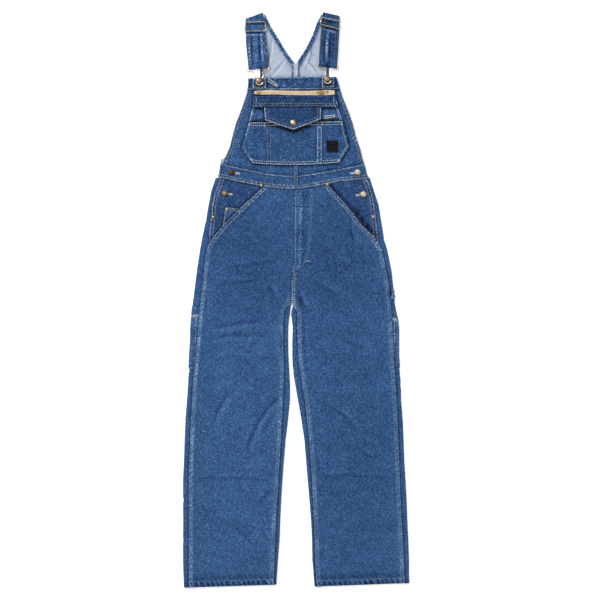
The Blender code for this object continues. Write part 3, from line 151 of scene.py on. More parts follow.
def bumped(tree: Tree, height: Socket, strength: float, depth: float) -> Socket:
    """Turns a height into a normal; the depth is in metres."""
    inputs = {"Strength": strength, "Distance": depth, "Height": height}
    return add_node(tree, "ShaderNodeBump", inputs).outputs[0]


def tinted(tree: Tree, value: Socket, stops: Sequence[tuple[float, str]]) -> Socket:
    """Turns a value into a colour by a ramp.

    Args:
        tree: The material's node tree.
        value: What runs along the ramp.
        stops: Pairs of place and hex colour, in order.

    Returns:
        The colour's socket.
    """
    ramp = add_node(tree, "ShaderNodeValToRGB", {"Fac": value})
    marks = ramp.color_ramp.elements
    while len(marks) < len(stops):
        marks.new(0.5)
    for mark, (place, shade) in zip(marks, stops):
        mark.position, mark.color = place, linear(shade)
    return ramp.outputs[0]


class Slot(Enum):
    """Material slot labels; nothing in the script reads them."""

    DENIM = "denim"
    INSIDE = "denim_inside"
    BRASS = "brass"
    BRONZE = "bronze"
    TAPE = "zip_tape"
    LABEL = "label"


@dataclass(frozen=True)
class Finish:
    """What a piece is made of, as one procedural material."""

    name: str

    def material(self) -> bpy.types.Material:
        """Builds the material, or finds it.

        Returns:
            The material.
        """
        made = bpy.data.materials.get(self.name)
        if made is None:
            made = bpy.data.materials.new(self.name)
            made.use_nodes = True
            tree = made.node_tree
            feed(tree, tree.nodes["Principled BSDF"], self.inputs(tree))
        return made

    def inputs(self, tree: Tree) -> dict[str | int, Any]:
        """Builds the pattern and gives the shader's inputs."""
        raise NotImplementedError


@dataclass(frozen=True)
class Denim(Finish):
    """Stone-washed right-hand twill: indigo warp over a white weft, bleached where it rubs.

    The eye sees a matt mid-blue broken by pale slubs and speckle. The mesh's wear_and_shade values make it
    lighter on every ridge and darker in every hollow: partly rubbed wear, partly painted highlight and shade.
    The ribs are drawn coarser than the real 0.6 mm so that they show.
    """

    shades: tuple[tuple[float, str], ...]  # the ramp from the darkest indigo to the palest weft
    lean: float = -27.0  # the ribs' angle in degrees
    rib_mm: float = 1.5
    slub_mm: Point = (1.0, 6.5)  # width and length of a thick place in the yarn
    speckle_mm: float = 2.5  # size of the salt-and-pepper
    patch_mm: float = 34.0  # size of the uneven dye
    fleck_mm: Point = (2.2, 4.2)  # width and length of a rubbed fleck
    grain_mm: Point = (1.9, 3.0)  # width and length of one float of yarn
    grain: float = 0.44  # how far each moves the tone, down to wear_and_shade
    speckle: float = 0.80
    slub: float = 0.20
    rubbed: float = 1.9
    patch: float = 0.06
    rib: float = 0.12
    wear_and_shade: float = 0.40
    contrast: float = 1.0  # a share put on the weave's own five

    def inputs(self, tree: Tree) -> dict[str | int, Any]:
        """Weaves the twill on the UV map, in millimetres, rubs it by the mesh's fray, and pales or darkens it
        by the mesh's wear_and_shade: rubbed wear with painted shade and highlight.

        Args:
            tree: The material's node tree.

        Returns:
            The shader's inputs.
        """
        uv = add_node(tree, "ShaderNodeUVMap", uv_map="cloth").outputs[0]
        turn = (0.0, 0.0, math.radians(self.lean))
        slant = add_node(tree, "ShaderNodeMapping", {"Vector": uv, "Rotation": turn}).outputs[0]
        rib = ribs(tree, slant, self.rib_mm, "X", {"Distortion": 1.6, "Detail": 2.0, "Detail Scale": 0.6})
        slub = noise(tree, stretched(tree, uv, self.slub_mm), 1.0, 2.0)
        speckle = noise(tree, uv, 1 / self.speckle_mm, 1.0, Roughness=0.6)
        patch = noise(tree, uv, 1 / self.patch_mm, 2.0)
        fleck = noise(tree, stretched(tree, uv, self.fleck_mm), 1.0, 1.0)
        floats = {"Vector": stretched(tree, slant, self.grain_mm), "Scale": 1.0}
        grain = add_node(tree, "ShaderNodeTexVoronoi", floats).outputs["Color"]
        rubbed = combine(tree, "MULTIPLY", combine(tree, "SUBTRACT", fleck, 0.48), attribute(tree, "fray"))
        tone: Any = 0.5
        for source, middle, share in (
            (grain, 0.5, self.grain * self.contrast),
            (speckle, 0.5, self.speckle * self.contrast),
            (slub, 0.5, self.slub * self.contrast),
            (rubbed, 0.0, self.rubbed),
            (patch, 0.5, self.patch * self.contrast),
            (rib, 0.5, self.rib * self.contrast),
            (attribute(tree, "wear_and_shade"), 0.0, self.wear_and_shade),
        ):
            off = combine(tree, "MULTIPLY", combine(tree, "SUBTRACT", source, middle), share)
            tone = combine(tree, "ADD", tone, off)
        relief = combine(tree, "ADD", combine(tree, "MULTIPLY", rib, 0.5), speckle)
        return {
            "Base Color": tinted(tree, tone, self.shades),
            "Normal": bumped(tree, relief, 0.35, 0.0005),
            "Roughness": 0.92,
            "Specular IOR Level": 0.2,
        }


@dataclass(frozen=True)
class Metal(Finish):
    """Plated stud or wire metal, tumbled dull, with a warm film in its hollows."""

    colour: str
    film: str
    roughness: float

    def inputs(self, tree: Tree) -> dict[str | int, Any]:
        """Clouds the plating by Object coordinates, and darkens it by the mesh's wear_and_shade: the film in
        a stud's groove, and painted shade on its rim and far side.

        Args:
            tree: The material's node tree.

        Returns:
            The shader's inputs.
        """
        place = add_node(tree, "ShaderNodeTexCoord").outputs["Object"]
        cloud = combine(tree, "ADD", noise(tree, place, 420.0, 4.0), attribute(tree, "wear_and_shade"))
        return {
            "Base Color": tinted(tree, cloud, ((0.35, self.film), (0.62, self.colour))),
            "Roughness": combine(tree, "ADD", combine(tree, "MULTIPLY", cloud, 0.25), self.roughness - 0.12),
            "Normal": bumped(tree, cloud, 0.15, 0.0002),
            "Metallic": 1.0,
        }


@dataclass(frozen=True)
class Yarn(Finish):
    """Spun or filament yarn: sewing thread, zip tape or a woven label, told apart by rib and colour."""

    colour: str
    shade: str
    rib_mm: float = 0.7

    def inputs(self, tree: Tree) -> dict[str | int, Any]:
        """Twists the yarn by Object coordinates.

        Args:
            tree: The material's node tree.

        Returns:
            The shader's inputs.
        """
        place = add_node(tree, "ShaderNodeTexCoord").outputs["Object"]
        rib = ribs(tree, place, self.rib_mm * MM, "Y", {"Distortion": 0.6})
        cloud = combine(tree, "MULTIPLY", noise(tree, place, 140.0, 2.0), 0.8)
        fleck = combine(tree, "ADD", combine(tree, "MULTIPLY", rib, 0.4), cloud)
        return {
            "Base Color": tinted(tree, fleck, ((0.25, self.shade), (0.85, self.colour))),
            "Normal": bumped(tree, rib, 0.3, 0.0002),
            "Roughness": 0.85,
            "Specular IOR Level": 0.12,
        }


TAPE = Yarn("woven_zip_tape", "d8c7aa", "a08a6c", 1.2)
LABEL = Yarn("woven_black_label", "17181c", "060607", 0.8)
BLUE = Denim(
    "washed_denim",
    ((0.0, "040912"), (0.30, "1a345b"), (0.5, "2b4d76"), (0.76, "466c9a"), (1.0, "aabbcd")),
)
DEEP = Denim(
    "washed_denim_deep",
    ((0.0, "040810"), (0.30, "15294a"), (0.5, "213f69"), (0.76, "39598a"), (1.0, "9aacc4")),
)
PALE = Denim(
    "denim_inner_face",
    ((0.0, "2c3a58"), (0.27, "7c899d"), (0.5, "a1aab8"), (0.72, "b9bfc9"), (1.0, "dcdee1")),
    contrast=0.7,
)
BRASS = Metal("aged_brass", "c2b189", "5b4c30", 0.32)
COPPER = Metal("dark_copper", "5c473a", "17110d", 0.34)
BRIGHT = Metal("zip_brass", "dfbd70", "4c3412", 0.30)
WIRE = Metal("pale_brass_wire", "e6d8b6", "7e6a42", 0.34)
# extra-bright brass: a painted highlight on the hooks' bows
GLINT = Metal("hook_brass_painted_highlight", "fff4d8", "c8ac72", 0.34)
SNAP = Metal("rosy_brass", "dcc9ae", "6f5640", 0.34)
SILVERED = Metal("rubbed_brass", "cfc6b4", "8d7f66", 0.36)
BRONZE = Metal("antique_bronze", "9c8468", "40342a", 0.36)


class Thread(Enum):
    """Sewing threads by colour."""

    TAN = Yarn("tan_topstitch_thread", "c4bda8", "938b76")
    SAND = Yarn("washed_sand_thread", "a4a9a8", "727d8a")
    CREAM = Yarn("cream_topstitch_thread", "ece8dd", "b9b2a2")
    GREY = Yarn("grey_topstitch_thread", "8e97a3", "5b6675")
    BLACK = Yarn("black_label_thread", "38352c", "17150f")
    # dark navy cones of painted shade at needle holes, in buttonhole slits and on the zip tape
    PAINTED_SHADE = Yarn("painted_needle_hole_shade", "1c2c4c", "101c34")
    COIL = Yarn("nylon_zip_coil", "d8c39c", "9f8457", 0.9)


# ---- relief


def smooth_step(share: Array) -> Array:
    """Eases a share from 0 to 1."""
    share = np.clip(share, 0.0, 1.0)
    return share * share * (3 - 2 * share)


def bell(distance: Array, width: float) -> Array:
    """A soft peak, 1 high where the distance is 0."""
    return np.exp(-((distance / width) ** 2))


def lattice_noise(x: Array, y: Array, cell: float, seed: int) -> Array:
    """Smooth seeded noise on a square lattice.

    Args:
        x: First coordinate.
        y: Second coordinate.
        cell: Lattice spacing, in the coordinates' unit.
        seed: Which noise.

    Returns:
        Values from -1 to 1.
    """
    table = np.random.default_rng(seed).uniform(-1, 1, (LATTICE, LATTICE))
    u, v = x / cell, y / cell
    i, j = np.floor(u).astype(int), np.floor(v).astype(int)
    s, t = smooth_step(u - i), smooth_step(v - j)
    left, right, near, far = i % LATTICE, (i + 1) % LATTICE, j % LATTICE, (j + 1) % LATTICE
    low = table[left, near] * (1 - s) + table[right, near] * s
    high = table[left, far] * (1 - s) + table[right, far] * s
    return low * (1 - t) + high * t


class Path:
    """A line on the cloth, in millimetres, that tells how far along and how far off a point lies."""

    def __init__(self, points: Sequence[Point]) -> None:
        """Keeps the line.

        Args:
            points: Its corners.
        """
        self.points = np.asarray(points, float)
        steps = np.diff(self.points, axis=0)
        self.lengths = np.maximum(np.linalg.norm(steps, axis=1), 1e-6)
        self.ways = steps / self.lengths[:, None]
        self.starts = np.concatenate([[0.0], np.cumsum(self.lengths)])

    def measure(self, x: Array, y: Array) -> Pair:
        """Finds where points lie by the line.

        Args:
            x: The points' x.
            y: The points' y.

        Returns:
            Length along the line, and distance off it, positive on its left.
        """
        along, off, best = np.zeros(x.shape), np.full(x.shape, 1e6), np.full(x.shape, 1e12)
        for (px, py), (wx, wy), length, start in zip(self.points, self.ways, self.lengths, self.starts):
            t = np.clip((x - px) * wx + (y - py) * wy, 0, length)
            dx, dy = x - px - t * wx, y - py - t * wy
            gap = dx * dx + dy * dy
            nearer = gap < best
            side = np.where(wx * dy - wy * dx >= 0, 1.0, -1.0)
            best = np.where(nearer, gap, best)
            off = np.where(nearer, side * np.sqrt(gap), off)
            along = np.where(nearer, start + t, along)
        return along, off

    def beside(self, x: Array, y: Array) -> Array:
        """How far to the left of the line points lie, were both its ends to run on for ever."""
        more = [-FAR * self.ways[0], *np.zeros((len(self.points) - 2, 2)), FAR * self.ways[-1]]
        return Path(self.points + np.array(more)).measure(x, y)[1]

    def at(self, length: float, inset: float = 0.0) -> tuple[Point, Point]:
        """A place on the line.

        Args:
            length: How far along.
            inset: How far to its left.

        Returns:
            The place and the line's direction there.
        """
        k = min(max(int(np.searchsorted(self.starts, length, side="right")) - 1, 0), len(self.lengths) - 1)
        wx, wy = self.ways[k]
        px, py = self.points[k] + self.ways[k] * (length - self.starts[k])
        return (float(px - wy * inset), float(py + wx * inset)), (float(wx), float(wy))

    def sample(self, shares: Iterable[float]) -> Array:
        """Reads the places at some shares of the line's length."""
        return np.array([self.at(share * self.length)[0] for share in shares])

    def misses(self, low: Array, high: Array, reach: float) -> bool:
        """Tells whether the line stays further than a reach from a box."""
        return bool((self.points.min(0) > high + reach).any() or (self.points.max(0) < low - reach).any())

    def holds(self, x: Array, y: Array) -> Array:
        """Tells which points lie within the line, taken as closed.

        Args:
            x: The points' x.
            y: The points' y.

        Returns:
            True within it.
        """
        within = np.zeros(x.shape, bool)
        for (ax, ay), (bx, by) in zip(self.points, np.roll(self.points, -1, axis=0)):
            if ay != by:
                level = (ay > y) != (by > y)
                within ^= level & (x < ax + (y - ay) * (bx - ax) / (by - ay))
        return within

    @property
    def length(self) -> float:
        """The whole length."""
        return float(self.starts[-1])


@dataclass
class Crease:
    """A soft trough pressed in the cloth, with the ridge that stands beside it; the trough gets painted shade
    and the ridge a paler tone, partly painted highlight and partly rubbed wear.
    """

    path: Path  # its line
    depth: float
    width: float  # its half width
    ridge: float  # the ridge's height, as a share of the depth, below 0 on the line's right
    tint: float = 0.42  # how strong the trough's painted shade and the ridge's paler tone (painted highlight and rubbed wear) are
    crest: Point = (2.3, 1.7)  # how far off the ridge runs, and its half width, in trough widths

    def press(self, x: Array, y: Array) -> Pair:
        """Works out the crease's effect.

        Args:
            x: The points' x.
            y: The points' y.

        Returns:
            The lift, and the wear_and_shade it gives each point: painted shade in the trough, a paler ridge.
        """
        along, off = self.path.measure(x, y)
        ends = np.sin(np.clip(along / self.path.length, 0.0, 1.0) * math.pi) ** 0.6
        trough = bell(off, self.width) * ends
        aside = math.copysign(self.crest[0], self.ridge) * self.width
        crest = bell(off - aside, self.crest[1] * self.width) * ends
        lift = self.depth * (abs(self.ridge) * crest - trough)
        return lift, self.tint * min(self.depth, 1.2) * (0.55 * crest - trough)


@dataclass
class Seam:
    """A sewn line: its rows of thread and how it puckers the cloth on each side."""

    path: Path  # its line, with the sewn cloth on the left
    rows: tuple[float, ...]  # the rows' distances to the left of the line
    thread: Thread = Thread.TAN
    pucker: float = 0.35  # the puckers' height
    wave: float = 11.0  # their length
    reach: float = 5.0  # how far they run out on each side
    glow: float = 0.45  # how pale the sewn band is rubbed
    on: tuple[str, ...] = ()  # the pieces that it is sewn on, its own first
    seed: int = 1
    valley: float = 0.0  # how dark the painted shade in the hollow past the last row is
    shade: float = 0.35  # how dark the painted shadow of the step beside the line is
    streak: float = 0.10  # how far the puckers' ridges pale and their troughs darken: painted highlight and shade, partly rubbed wear
    between: float = 0.0  # how dark the painted shade in the channel between the rows is
    roping: float = 0.0  # how far the twisted ribs of a turned hem pale
    spill: float = 1.5  # the width of the painted shadow of the step
    fray: float = 1.0  # how flecked the rubbed band is
    shade_spot: float = 1.35  # the radius of the painted shade spot at each needle hole

    def draw_up(self, x: Array, y: Array) -> Trio:
        """Works out the seam's puckers.

        Args:
            x: The points' x.
            y: The points' y.

        Returns:
            The lift, the wear_and_shade and the fray it gives each point.
        """
        along, off = self.path.measure(x, y)
        low, high = min(self.rows), max(self.rows)
        apart = np.clip(low - off, 0, None) + np.clip(off - high, 0, None)
        near = bell(apart, self.reach)
        slide = lattice_noise(along, off * 0, 23.0, self.seed) * 0.35 * self.wave
        strength = 0.65 + 0.6 * lattice_noise(along, off * 0 + 5, 31.0, self.seed + 7)
        broad = lattice_noise(along, off * 0 + 9, 19.0, self.seed + 3)
        ripple = np.sin((along + slide + 0.55 * off) * 2 * math.pi / self.wave)
        rope = np.sin((along + slide + 0.35 * off) * 2 * math.pi / self.wave) + 0.6 * broad
        sewn = smooth_step((off - low + 2.4) / 1.6) * (1 - smooth_step((off - high - 0.4) / 2.2))
        turned = smooth_step((off - 0.5) / 1.5) * (1 - smooth_step((off - high + 2.0) / 2.0))
        wear_and_shade = self.glow * sewn * (0.8 + 0.22 * ripple * strength + 0.6 * broad)
        # streak paints highlight on the puckers' ridges and shade in their troughs; between, shade and valley
        # paint shade in the channel between the rows, beside the line's step and in the hollow past the last
        # row
        wear_and_shade = wear_and_shade + self.streak * near * ripple * strength
        wear_and_shade = wear_and_shade - self.between * bell(off - 0.5 * (low + high), 0.26 * (high - low) + 0.6)
        wear_and_shade = wear_and_shade - self.shade * bell(off + 0.6 + self.spill, self.spill) * (off < 1.0)
        wear_and_shade = wear_and_shade - self.valley * bell(off - high - 8.0, 7.0) * (off > high)
        wear_and_shade = wear_and_shade + self.roping * turned * rope
        return self.pucker * near * (ripple * strength + 0.5), wear_and_shade, self.fray * bell(apart, 3.4)


@dataclass(frozen=True)
class Patch:
    """A broad area painted lighter or darker: some for the wash's uneven fading, some as painted shade or
    highlight of folds, gaps and things that lie on the cloth.
    """

    centre: Point
    reach: Point
    amount: float

    def tint(self, x: Array, y: Array) -> Array:
        """Gives the wear_and_shade that the patch adds at each point."""
        u, v = (x - self.centre[0]) / self.reach[0], (y - self.centre[1]) / self.reach[1]
        return self.amount * np.exp(-(u * u + v * v))


# ---- the cutting table


class Side(Enum):
    """The four sides of a panel, in the order in which its outline runs, cloth on the left."""

    BOTTOM = 0
    RIGHT = 1
    TOP = 2
    LEFT = 3


BOTTOM, RIGHT, TOP, LEFT = Side
UPRIGHT = (LEFT, RIGHT)


def joined(meshes: Iterable[Pair]) -> BVHTree:
    """Joins meshes into one tree that rays can hit.

    Args:
        meshes: Each one's points and faces.

    Returns:
        The tree.
    """
    points: list[list[float]] = []
    faces: list[list[int]] = []
    for corners, sides in meshes:
        faces += (sides + len(points)).tolist()
        points += corners.tolist()
    return BVHTree.FromPolygons(points, faces)


class Bench:
    """The CAD nodes read as millimetre meshes, and the finished cloth that thread is sewn into."""

    def __init__(self, nodes: dict[str, Piece]) -> None:
        """Reads every node.

        Args:
            nodes: The frame's nodes.
        """
        self.solids = {name: self.read(node) for name, node in nodes.items()}
        self.trees = {name: joined([solid]) for name, solid in self.solids.items()}
        self.cloth: list[tuple[str, Array, Array]] = []
        self.bed: BVHTree | None = None
        self.owners: list[str] = []

    @staticmethod
    def read(node: Piece) -> Pair:
        """Reads a node as welded triangles.

        Args:
            node: A mesh object.

        Returns:
            Its points in millimetres, and its triangles.
        """
        mesh = node.data
        mesh.calc_loop_triangles()
        raw = np.empty(len(mesh.vertices) * 3, np.float32)
        mesh.vertices.foreach_get("co", raw)
        world = np.array(node.matrix_world)
        raw = (raw.reshape(-1, 3) @ world[:3, :3].T + world[:3, 3]) / MM
        faces = np.empty(len(mesh.loop_triangles) * 3, np.int32)
        mesh.loop_triangles.foreach_get("vertices", faces)
        _, first, index = np.unique(np.round(raw, 2), axis=0, return_index=True, return_inverse=True)
        faces = index.reshape(-1)[faces].reshape(-1, 3)
        whole = (faces[:, 0] != faces[:, 1]) & (faces[:, 1] != faces[:, 2]) & (faces[:, 0] != faces[:, 2])
        return raw[first].astype(float), faces[whole]

    def others(self, name: str) -> BVHTree:
        """Everything but one node, as one tree."""
        return joined(solid for other, solid in self.solids.items() if other != name)

    def height(self, name: str, x: float, y: float, up: bool = True) -> float | None:
        """Reads a node's height at a place.

        Args:
            name: The node.
            x: Millimetres across.
            y: Millimetres along.
            up: Its top, or else its underside.

        Returns:
            The height in millimetres, or None off the node.
        """
        start, way = (PROBE, -1) if up else (-PROBE, 1)
        hit = self.trees[name].ray_cast(Vector((x, y, start)), Vector((0, 0, way)))[0]
        return None if hit is None else hit.z

    def spread(self, name: str, points: Array, faces: Array) -> None:
        """Lays finished cloth on the bed that thread is sewn into."""
        self.cloth.append((name, points, faces))
        self.bed = None

    def seat(self, x: float, y: float) -> tuple[float, str]:
        """Finds the top of the finished cloth.

        Args:
            x: Millimetres across.
            y: Millimetres along.

        Returns:
            Its height, and the piece it belongs to.
        """
        if self.bed is None:
            self.bed = joined((points, faces) for _, points, faces in self.cloth)
            self.owners = [name for name, _, faces in self.cloth for _ in faces]
        hit, _, face, _ = self.bed.ray_cast(Vector((x, y, PROBE)), Vector((0, 0, -1)))
        return (math.nan, "") if hit is None else (hit.z, self.owners[face])


BENCH = Bench(frame["nodes"])


def chain(edges: Iterable[tuple[Any, Any]]) -> list[list[Any]]:
    """Joins edges end to end into loops.

    Args:
        edges: Pairs of keys.

    Returns:
        Each loop's keys in order.
    """
    links: dict[Any, list[Any]] = {}
    for a, b in edges:
        links.setdefault(a, []).append(b)
        links.setdefault(b, []).append(a)
    loops = []
    while links:
        here = next(iter(links))
        loop = []
        while here in links:
            loop.append(here)
            ways = [k for k in links.pop(here) if k in links]
            if not ways:
                break
            here = ways[0]
        loops.append(loop)
    return loops


def outline_of(points: Array, faces: Array) -> Array:
    """Finds a panel's outline from above.

    Args:
        points: The solid's points.
        faces: Its triangles.

    Returns:
        The outline's points, anticlockwise.
    """
    corners = points[faces]
    normals = np.cross(corners[:, 1] - corners[:, 0], corners[:, 2] - corners[:, 0])
    top = faces[normals[:, 2] > 0.2 * np.maximum(np.linalg.norm(normals, axis=1), 1e-9)]
    ends = np.sort(np.concatenate([top[:, [0, 1]], top[:, [1, 2]], top[:, [2, 0]]]), axis=1)
    rims, count = np.unique(ends, axis=0, return_counts=True)
    loops = chain(map(tuple, rims[count == 1].tolist()))
    best = max(loops, key=lambda loop: np.ptp(points[loop, :2], axis=0).sum() if len(loop) > 2 else 0)
    line = points[best, :2]
    turn = np.roll(line, -1, axis=0)
    area = (line[:, 0] * turn[:, 1] - turn[:, 0] * line[:, 1]).sum()
    return line if area > 0 else line[::-1]


def line_length(line: Array) -> float:
    """Measures a line of points."""
    return float(np.linalg.norm(np.diff(line, axis=0), axis=1).sum())


def spaced(length: float, pitch: float, rim: Sequence[float] = RIM) -> Array:
    """Spreads grid lines evenly over a length, with a few close to each end.

    Args:
        length: The length to cover.
        pitch: The spacing.
        rim: The first lines' distances from each end.

    Returns:
        Places from 0 to 1.
    """
    rim = [r for r in rim if r < 0.34 * length]
    inner = np.linspace(rim[-1], length - rim[-1], max(2, int(round((length - 2 * rim[-1]) / pitch)) + 1))
    return np.concatenate([rim[:-1], inner, [length - r for r in rim[:-1][::-1]]]) / length


def soften(grid: Array, times: int = 1) -> Array:
    """Blurs a grid of values, its border kept.

    Args:
        grid: Values by row and column.
        times: How many passes.

    Returns:
        The blurred grid.
    """
    grid = grid.copy()
    for _ in range(times):
        grid[1:-1] = 0.25 * grid[:-2] + 0.5 * grid[1:-1] + 0.25 * grid[2:]
        grid[:, 1:-1] = 0.25 * grid[:, :-2] + 0.5 * grid[:, 1:-1] + 0.25 * grid[:, 2:]
    return grid


def shell_faces(rows: int, columns: int, seam_start: int) -> Array:
    """Lists the quads of a closed shell made of two grids and a rim between them.

    Args:
        rows: Grid rows.
        columns: Grid columns.
        seam_start: Where the rim's own points start, one for each border point.

    Returns:
        The quads.
    """
    place = np.arange(rows * columns).reshape(rows, columns)
    top = np.stack([place[:-1, :-1], place[:-1, 1:], place[1:, 1:], place[1:, :-1]], -1).reshape(-1, 4)
    under = top[:, ::-1] + rows * columns
    ring = np.concatenate([place[0, :-1], place[:-1, -1], place[-1, :0:-1], place[:0:-1, 0]])
    rim = seam_start + np.arange(len(ring))
    following = np.roll(ring, -1)
    upper = np.stack([following, ring, rim, np.roll(rim, -1)], -1)
    lower = np.stack([np.roll(rim, -1), rim, ring + rows * columns, following + rows * columns], -1)
    return np.concatenate([top, under, upper, lower])


def border(grid: Array) -> Array:
    """Reads a grid's border once round, in the order of shell_faces."""
    return np.concatenate([grid[0, :-1], grid[:-1, -1], grid[-1, :0:-1], grid[:0:-1, 0]])


def on_shell(grid: Array) -> Array:
    """Puts a grid's values on both faces and the rim of a shell, in the order of its points."""
    cells = grid.reshape(-1, *grid.shape[2:])
    return np.concatenate([cells, cells, border(grid)])


def piece_name(node: str, part: str) -> str:
    """Names what is built for a node."""
    return f"{node.replace('_', '-')}-{part}"


@dataclass
class Folds:
    """Everything that shapes and marks the cloth after it is cut: creases, puckered seams, rumple, broad
    patches, and the painted shadow that each panel casts by its rim.
    """

    creases: list[Crease] = field(default_factory=list)  # the listed creases
    seams: list[Seam] = field(default_factory=list)  # every sewn line
    # each panel's name, its outline, its height, and whether it casts no painted shadow
    rims: list[tuple[str, Path, float, bool]] = field(default_factory=list)
    patches: list[Patch] = field(default_factory=list)  # the broad lighter and darker areas

    def read(
        self, name: str, x: Array, y: Array, rumple: float, shadow: float
    ) -> Trio:
        """Adds up the relief, wear and fray at some places of one piece.

        Args:
            name: The piece.
            x: The places' x.
            y: The places' y.
            rumple: The height of the slight unevenness all over.
            shadow: How strong the painted shadow is right beside a piece that lies on it, and under it.

        Returns:
            The lift, the wear_and_shade and the fray.
        """
        lift = rumple * (lattice_noise(x, y, 46.0, 3) + 0.5 * lattice_noise(x, y, 21.0, 4))
        # paler where the rumple rises, darker where it sinks
        wear_and_shade = 0.22 * lift / max(rumple, 0.01) * min(rumple, 0.5)
        wear_and_shade = wear_and_shade + 0.05 * lattice_noise(x, y, 17.0, 5) + 0.04 * lattice_noise(x + 0.5 * y, y, 6.0, 6)
        fray = np.zeros(x.shape)
        for patch in self.patches:
            wear_and_shade = wear_and_shade + patch.tint(x, y)
        low, high = np.array([x.min(), y.min()]), np.array([x.max(), y.max()])
        for crease in self.creases:
            if not crease.path.misses(low, high, 6 * crease.width):
                up, worn_and_shaded = crease.press(x, y)
                lift, wear_and_shade = lift + up, wear_and_shade + worn_and_shaded
        for seam in self.seams:
            if name in seam.on:
                up, worn_and_shaded, rubbed = seam.draw_up(x, y)
                lift, wear_and_shade, fray = lift + up, wear_and_shade + worn_and_shaded, np.maximum(fray, rubbed)
        # painted shadow beside each taller panel that lies on this one, reaching further the taller it
        # stands, and a fainter painted shade inside its outline
        level = max((tall for rim, _, tall, _ in self.rims if rim == name), default=2.0)
        for rim, path, tall, flush in self.rims:
            step = tall - level
            reach = float(np.clip(4.0 * step, 3.0, 7.0)) if step < 3 else 4.0
            if tall <= level + 0.5 or rim == name or flush or path.misses(low, high, 2 * reach):
                continue
            off = path.measure(x, y)[1]
            wear_and_shade = wear_and_shade - shadow * np.where(path.holds(x, y), 0.6, bell(off, reach))
        return lift, wear_and_shade, fray


@dataclass
class Hem(Seam):
    """A seam along a panel's side: its path is only the side until the panel lays it out."""

    path: Path | Side
    rows: tuple[float, ...] = (1.8,)
    pucker: float = 0.25
    reach: float = 4.0
    glow: float = 0.35
    streak: float = 0.22
    between: float = 0.45
    span: tuple[float, float] = (0.0, 1.0)  # where it starts and ends, as shares of the side


@dataclass
class Cloth:
    """A sewn piece of denim that takes a CAD node's place as a finer shell."""

    node: str
    flat: tuple[float, float]  # the cut's width and length
    finish: Finish = BLUE
    place: Slot = Slot.DENIM  # a slot label, which nothing in the script reads
    pitch: float = 3.5  # the grid's spacing
    rumple: float = 0.12  # the height of the unevenness all over
    edge_wear_and_shade: float = 0.6  # how pale its edges are rubbed, and on a panel how dark the painted shade line just inside them is
    hems: tuple[Hem, ...] = ()
    held: str = "laid"
    rests_on: tuple[str, ...] = ()
    tone: float = 0.0  # how much paler it is all over
    grain: float = 0.0  # the twill's turn in degrees
    rub: float = 0.0  # how flecked it is all over
    shadow: float = 0.75  # how dark the painted shadow beside and under the pieces that lie on it is
    flush: bool = False  # whether it casts no painted shadow on others

    def lifted(
        self, folds: Folds, top: Array, under: Array
    ) -> Trio:
        """Works out how far the grid's points may rise or sink.

        Args:
            folds: What shapes the cloth.
            top: The outer grid of points.
            under: The inner grid of points.

        Returns:
            The lift, kept clear of the other nodes, the wear_and_shade and the fray.
        """
        lift, wear_and_shade, fray = folds.read(self.node, top[..., 0], top[..., 1], self.rumple, self.shadow)
        wear_and_shade = wear_and_shade + 0.42 * self.rub * lattice_noise(top[..., 0], 0.6 * top[..., 1], 8.0, 8)
        others = BENCH.others(self.node)
        rows, columns = top.shape[:2]
        above, below = np.full((rows, columns), ROOM), np.full((rows, columns), ROOM)
        step = 2 if rows * columns > 9000 else 1
        up, off = Vector((0, 0, 1)), Vector((0, 0, 0.02))
        for r in range(0, rows, step):
            for c in range(0, columns, step):
                low = Vector(under[r, c])
                gap = others.ray_cast(Vector(top[r, c]) + off, up, ROOM)[3]
                above[r : r + step, c : c + step] = ROOM if gap is None else gap
                gap = others.ray_cast(low - off, -up, ROOM)[3]
                below[r : r + step, c : c + step] = min(ROOM if gap is None else gap, low.z)
        ceiling = soften(np.maximum(above - AIR, 0.0), 2)
        floor = soften(-np.maximum(below - AIR, 0.0), 2)
        return soften(np.clip(lift, floor, ceiling), 1), wear_and_shade, np.maximum(fray, self.rub)

    def sew(
        self, grids: Pair, lift: Array, wear_and_shade: Array,
        fray: Array, uv: Array,
    ) -> Piece:
        """Closes the two grids into the finished piece.

        Args:
            grids: The outer and the inner grid of points.
            lift: Each point's lift.
            wear_and_shade: Each point's rubbed wear and painted shade.
            fray: How frayed and rubbed each point is.
            uv: The cloth's flat coordinates in millimetres.

        Returns:
            The piece.
        """
        rows, columns = lift.shape
        outer, inner = (grid.copy() for grid in grids)
        outer[..., 2] += lift
        inner[..., 2] += lift
        middle = 0.5 * (border(outer) + border(inner))
        for grid, other in ((outer, inner), (inner, outer)):
            shift = 0.16 * (other - grid)
            grid[0], grid[-1] = grid[0] + shift[0], grid[-1] + shift[-1]
            grid[:, 0], grid[:, -1] = grid[:, 0] + shift[:, 0], grid[:, -1] + shift[:, -1]
        points = np.concatenate([outer.reshape(-1, 3), inner.reshape(-1, 3), middle])
        faces = shell_faces(rows, columns, 2 * rows * columns)
        turn = math.radians(self.grain)
        cut = on_shell(uv) @ np.array([[math.cos(turn), -math.sin(turn)], [math.sin(turn), math.cos(turn)]])
        BENCH.spread(self.node, points, faces)
        name, cover = piece_name(self.node, "cloth"), on_shell(wear_and_shade) + self.tone
        piece = shape_of(name, points, faces, self.finish.material(), cover, cut)
        set_values(piece, "fray", on_shell(fray))
        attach(piece, GARMENT)
        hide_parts(self.node)
        log.info("%s: %d faces", self.node, len(faces))
        return piece


def set_values(piece: Piece, name: str, values: Array) -> None:
    """Gives a piece's points a value each."""
    piece.data.attributes.new(name, "FLOAT", "POINT").data.foreach_set("value", values.astype(np.float32))


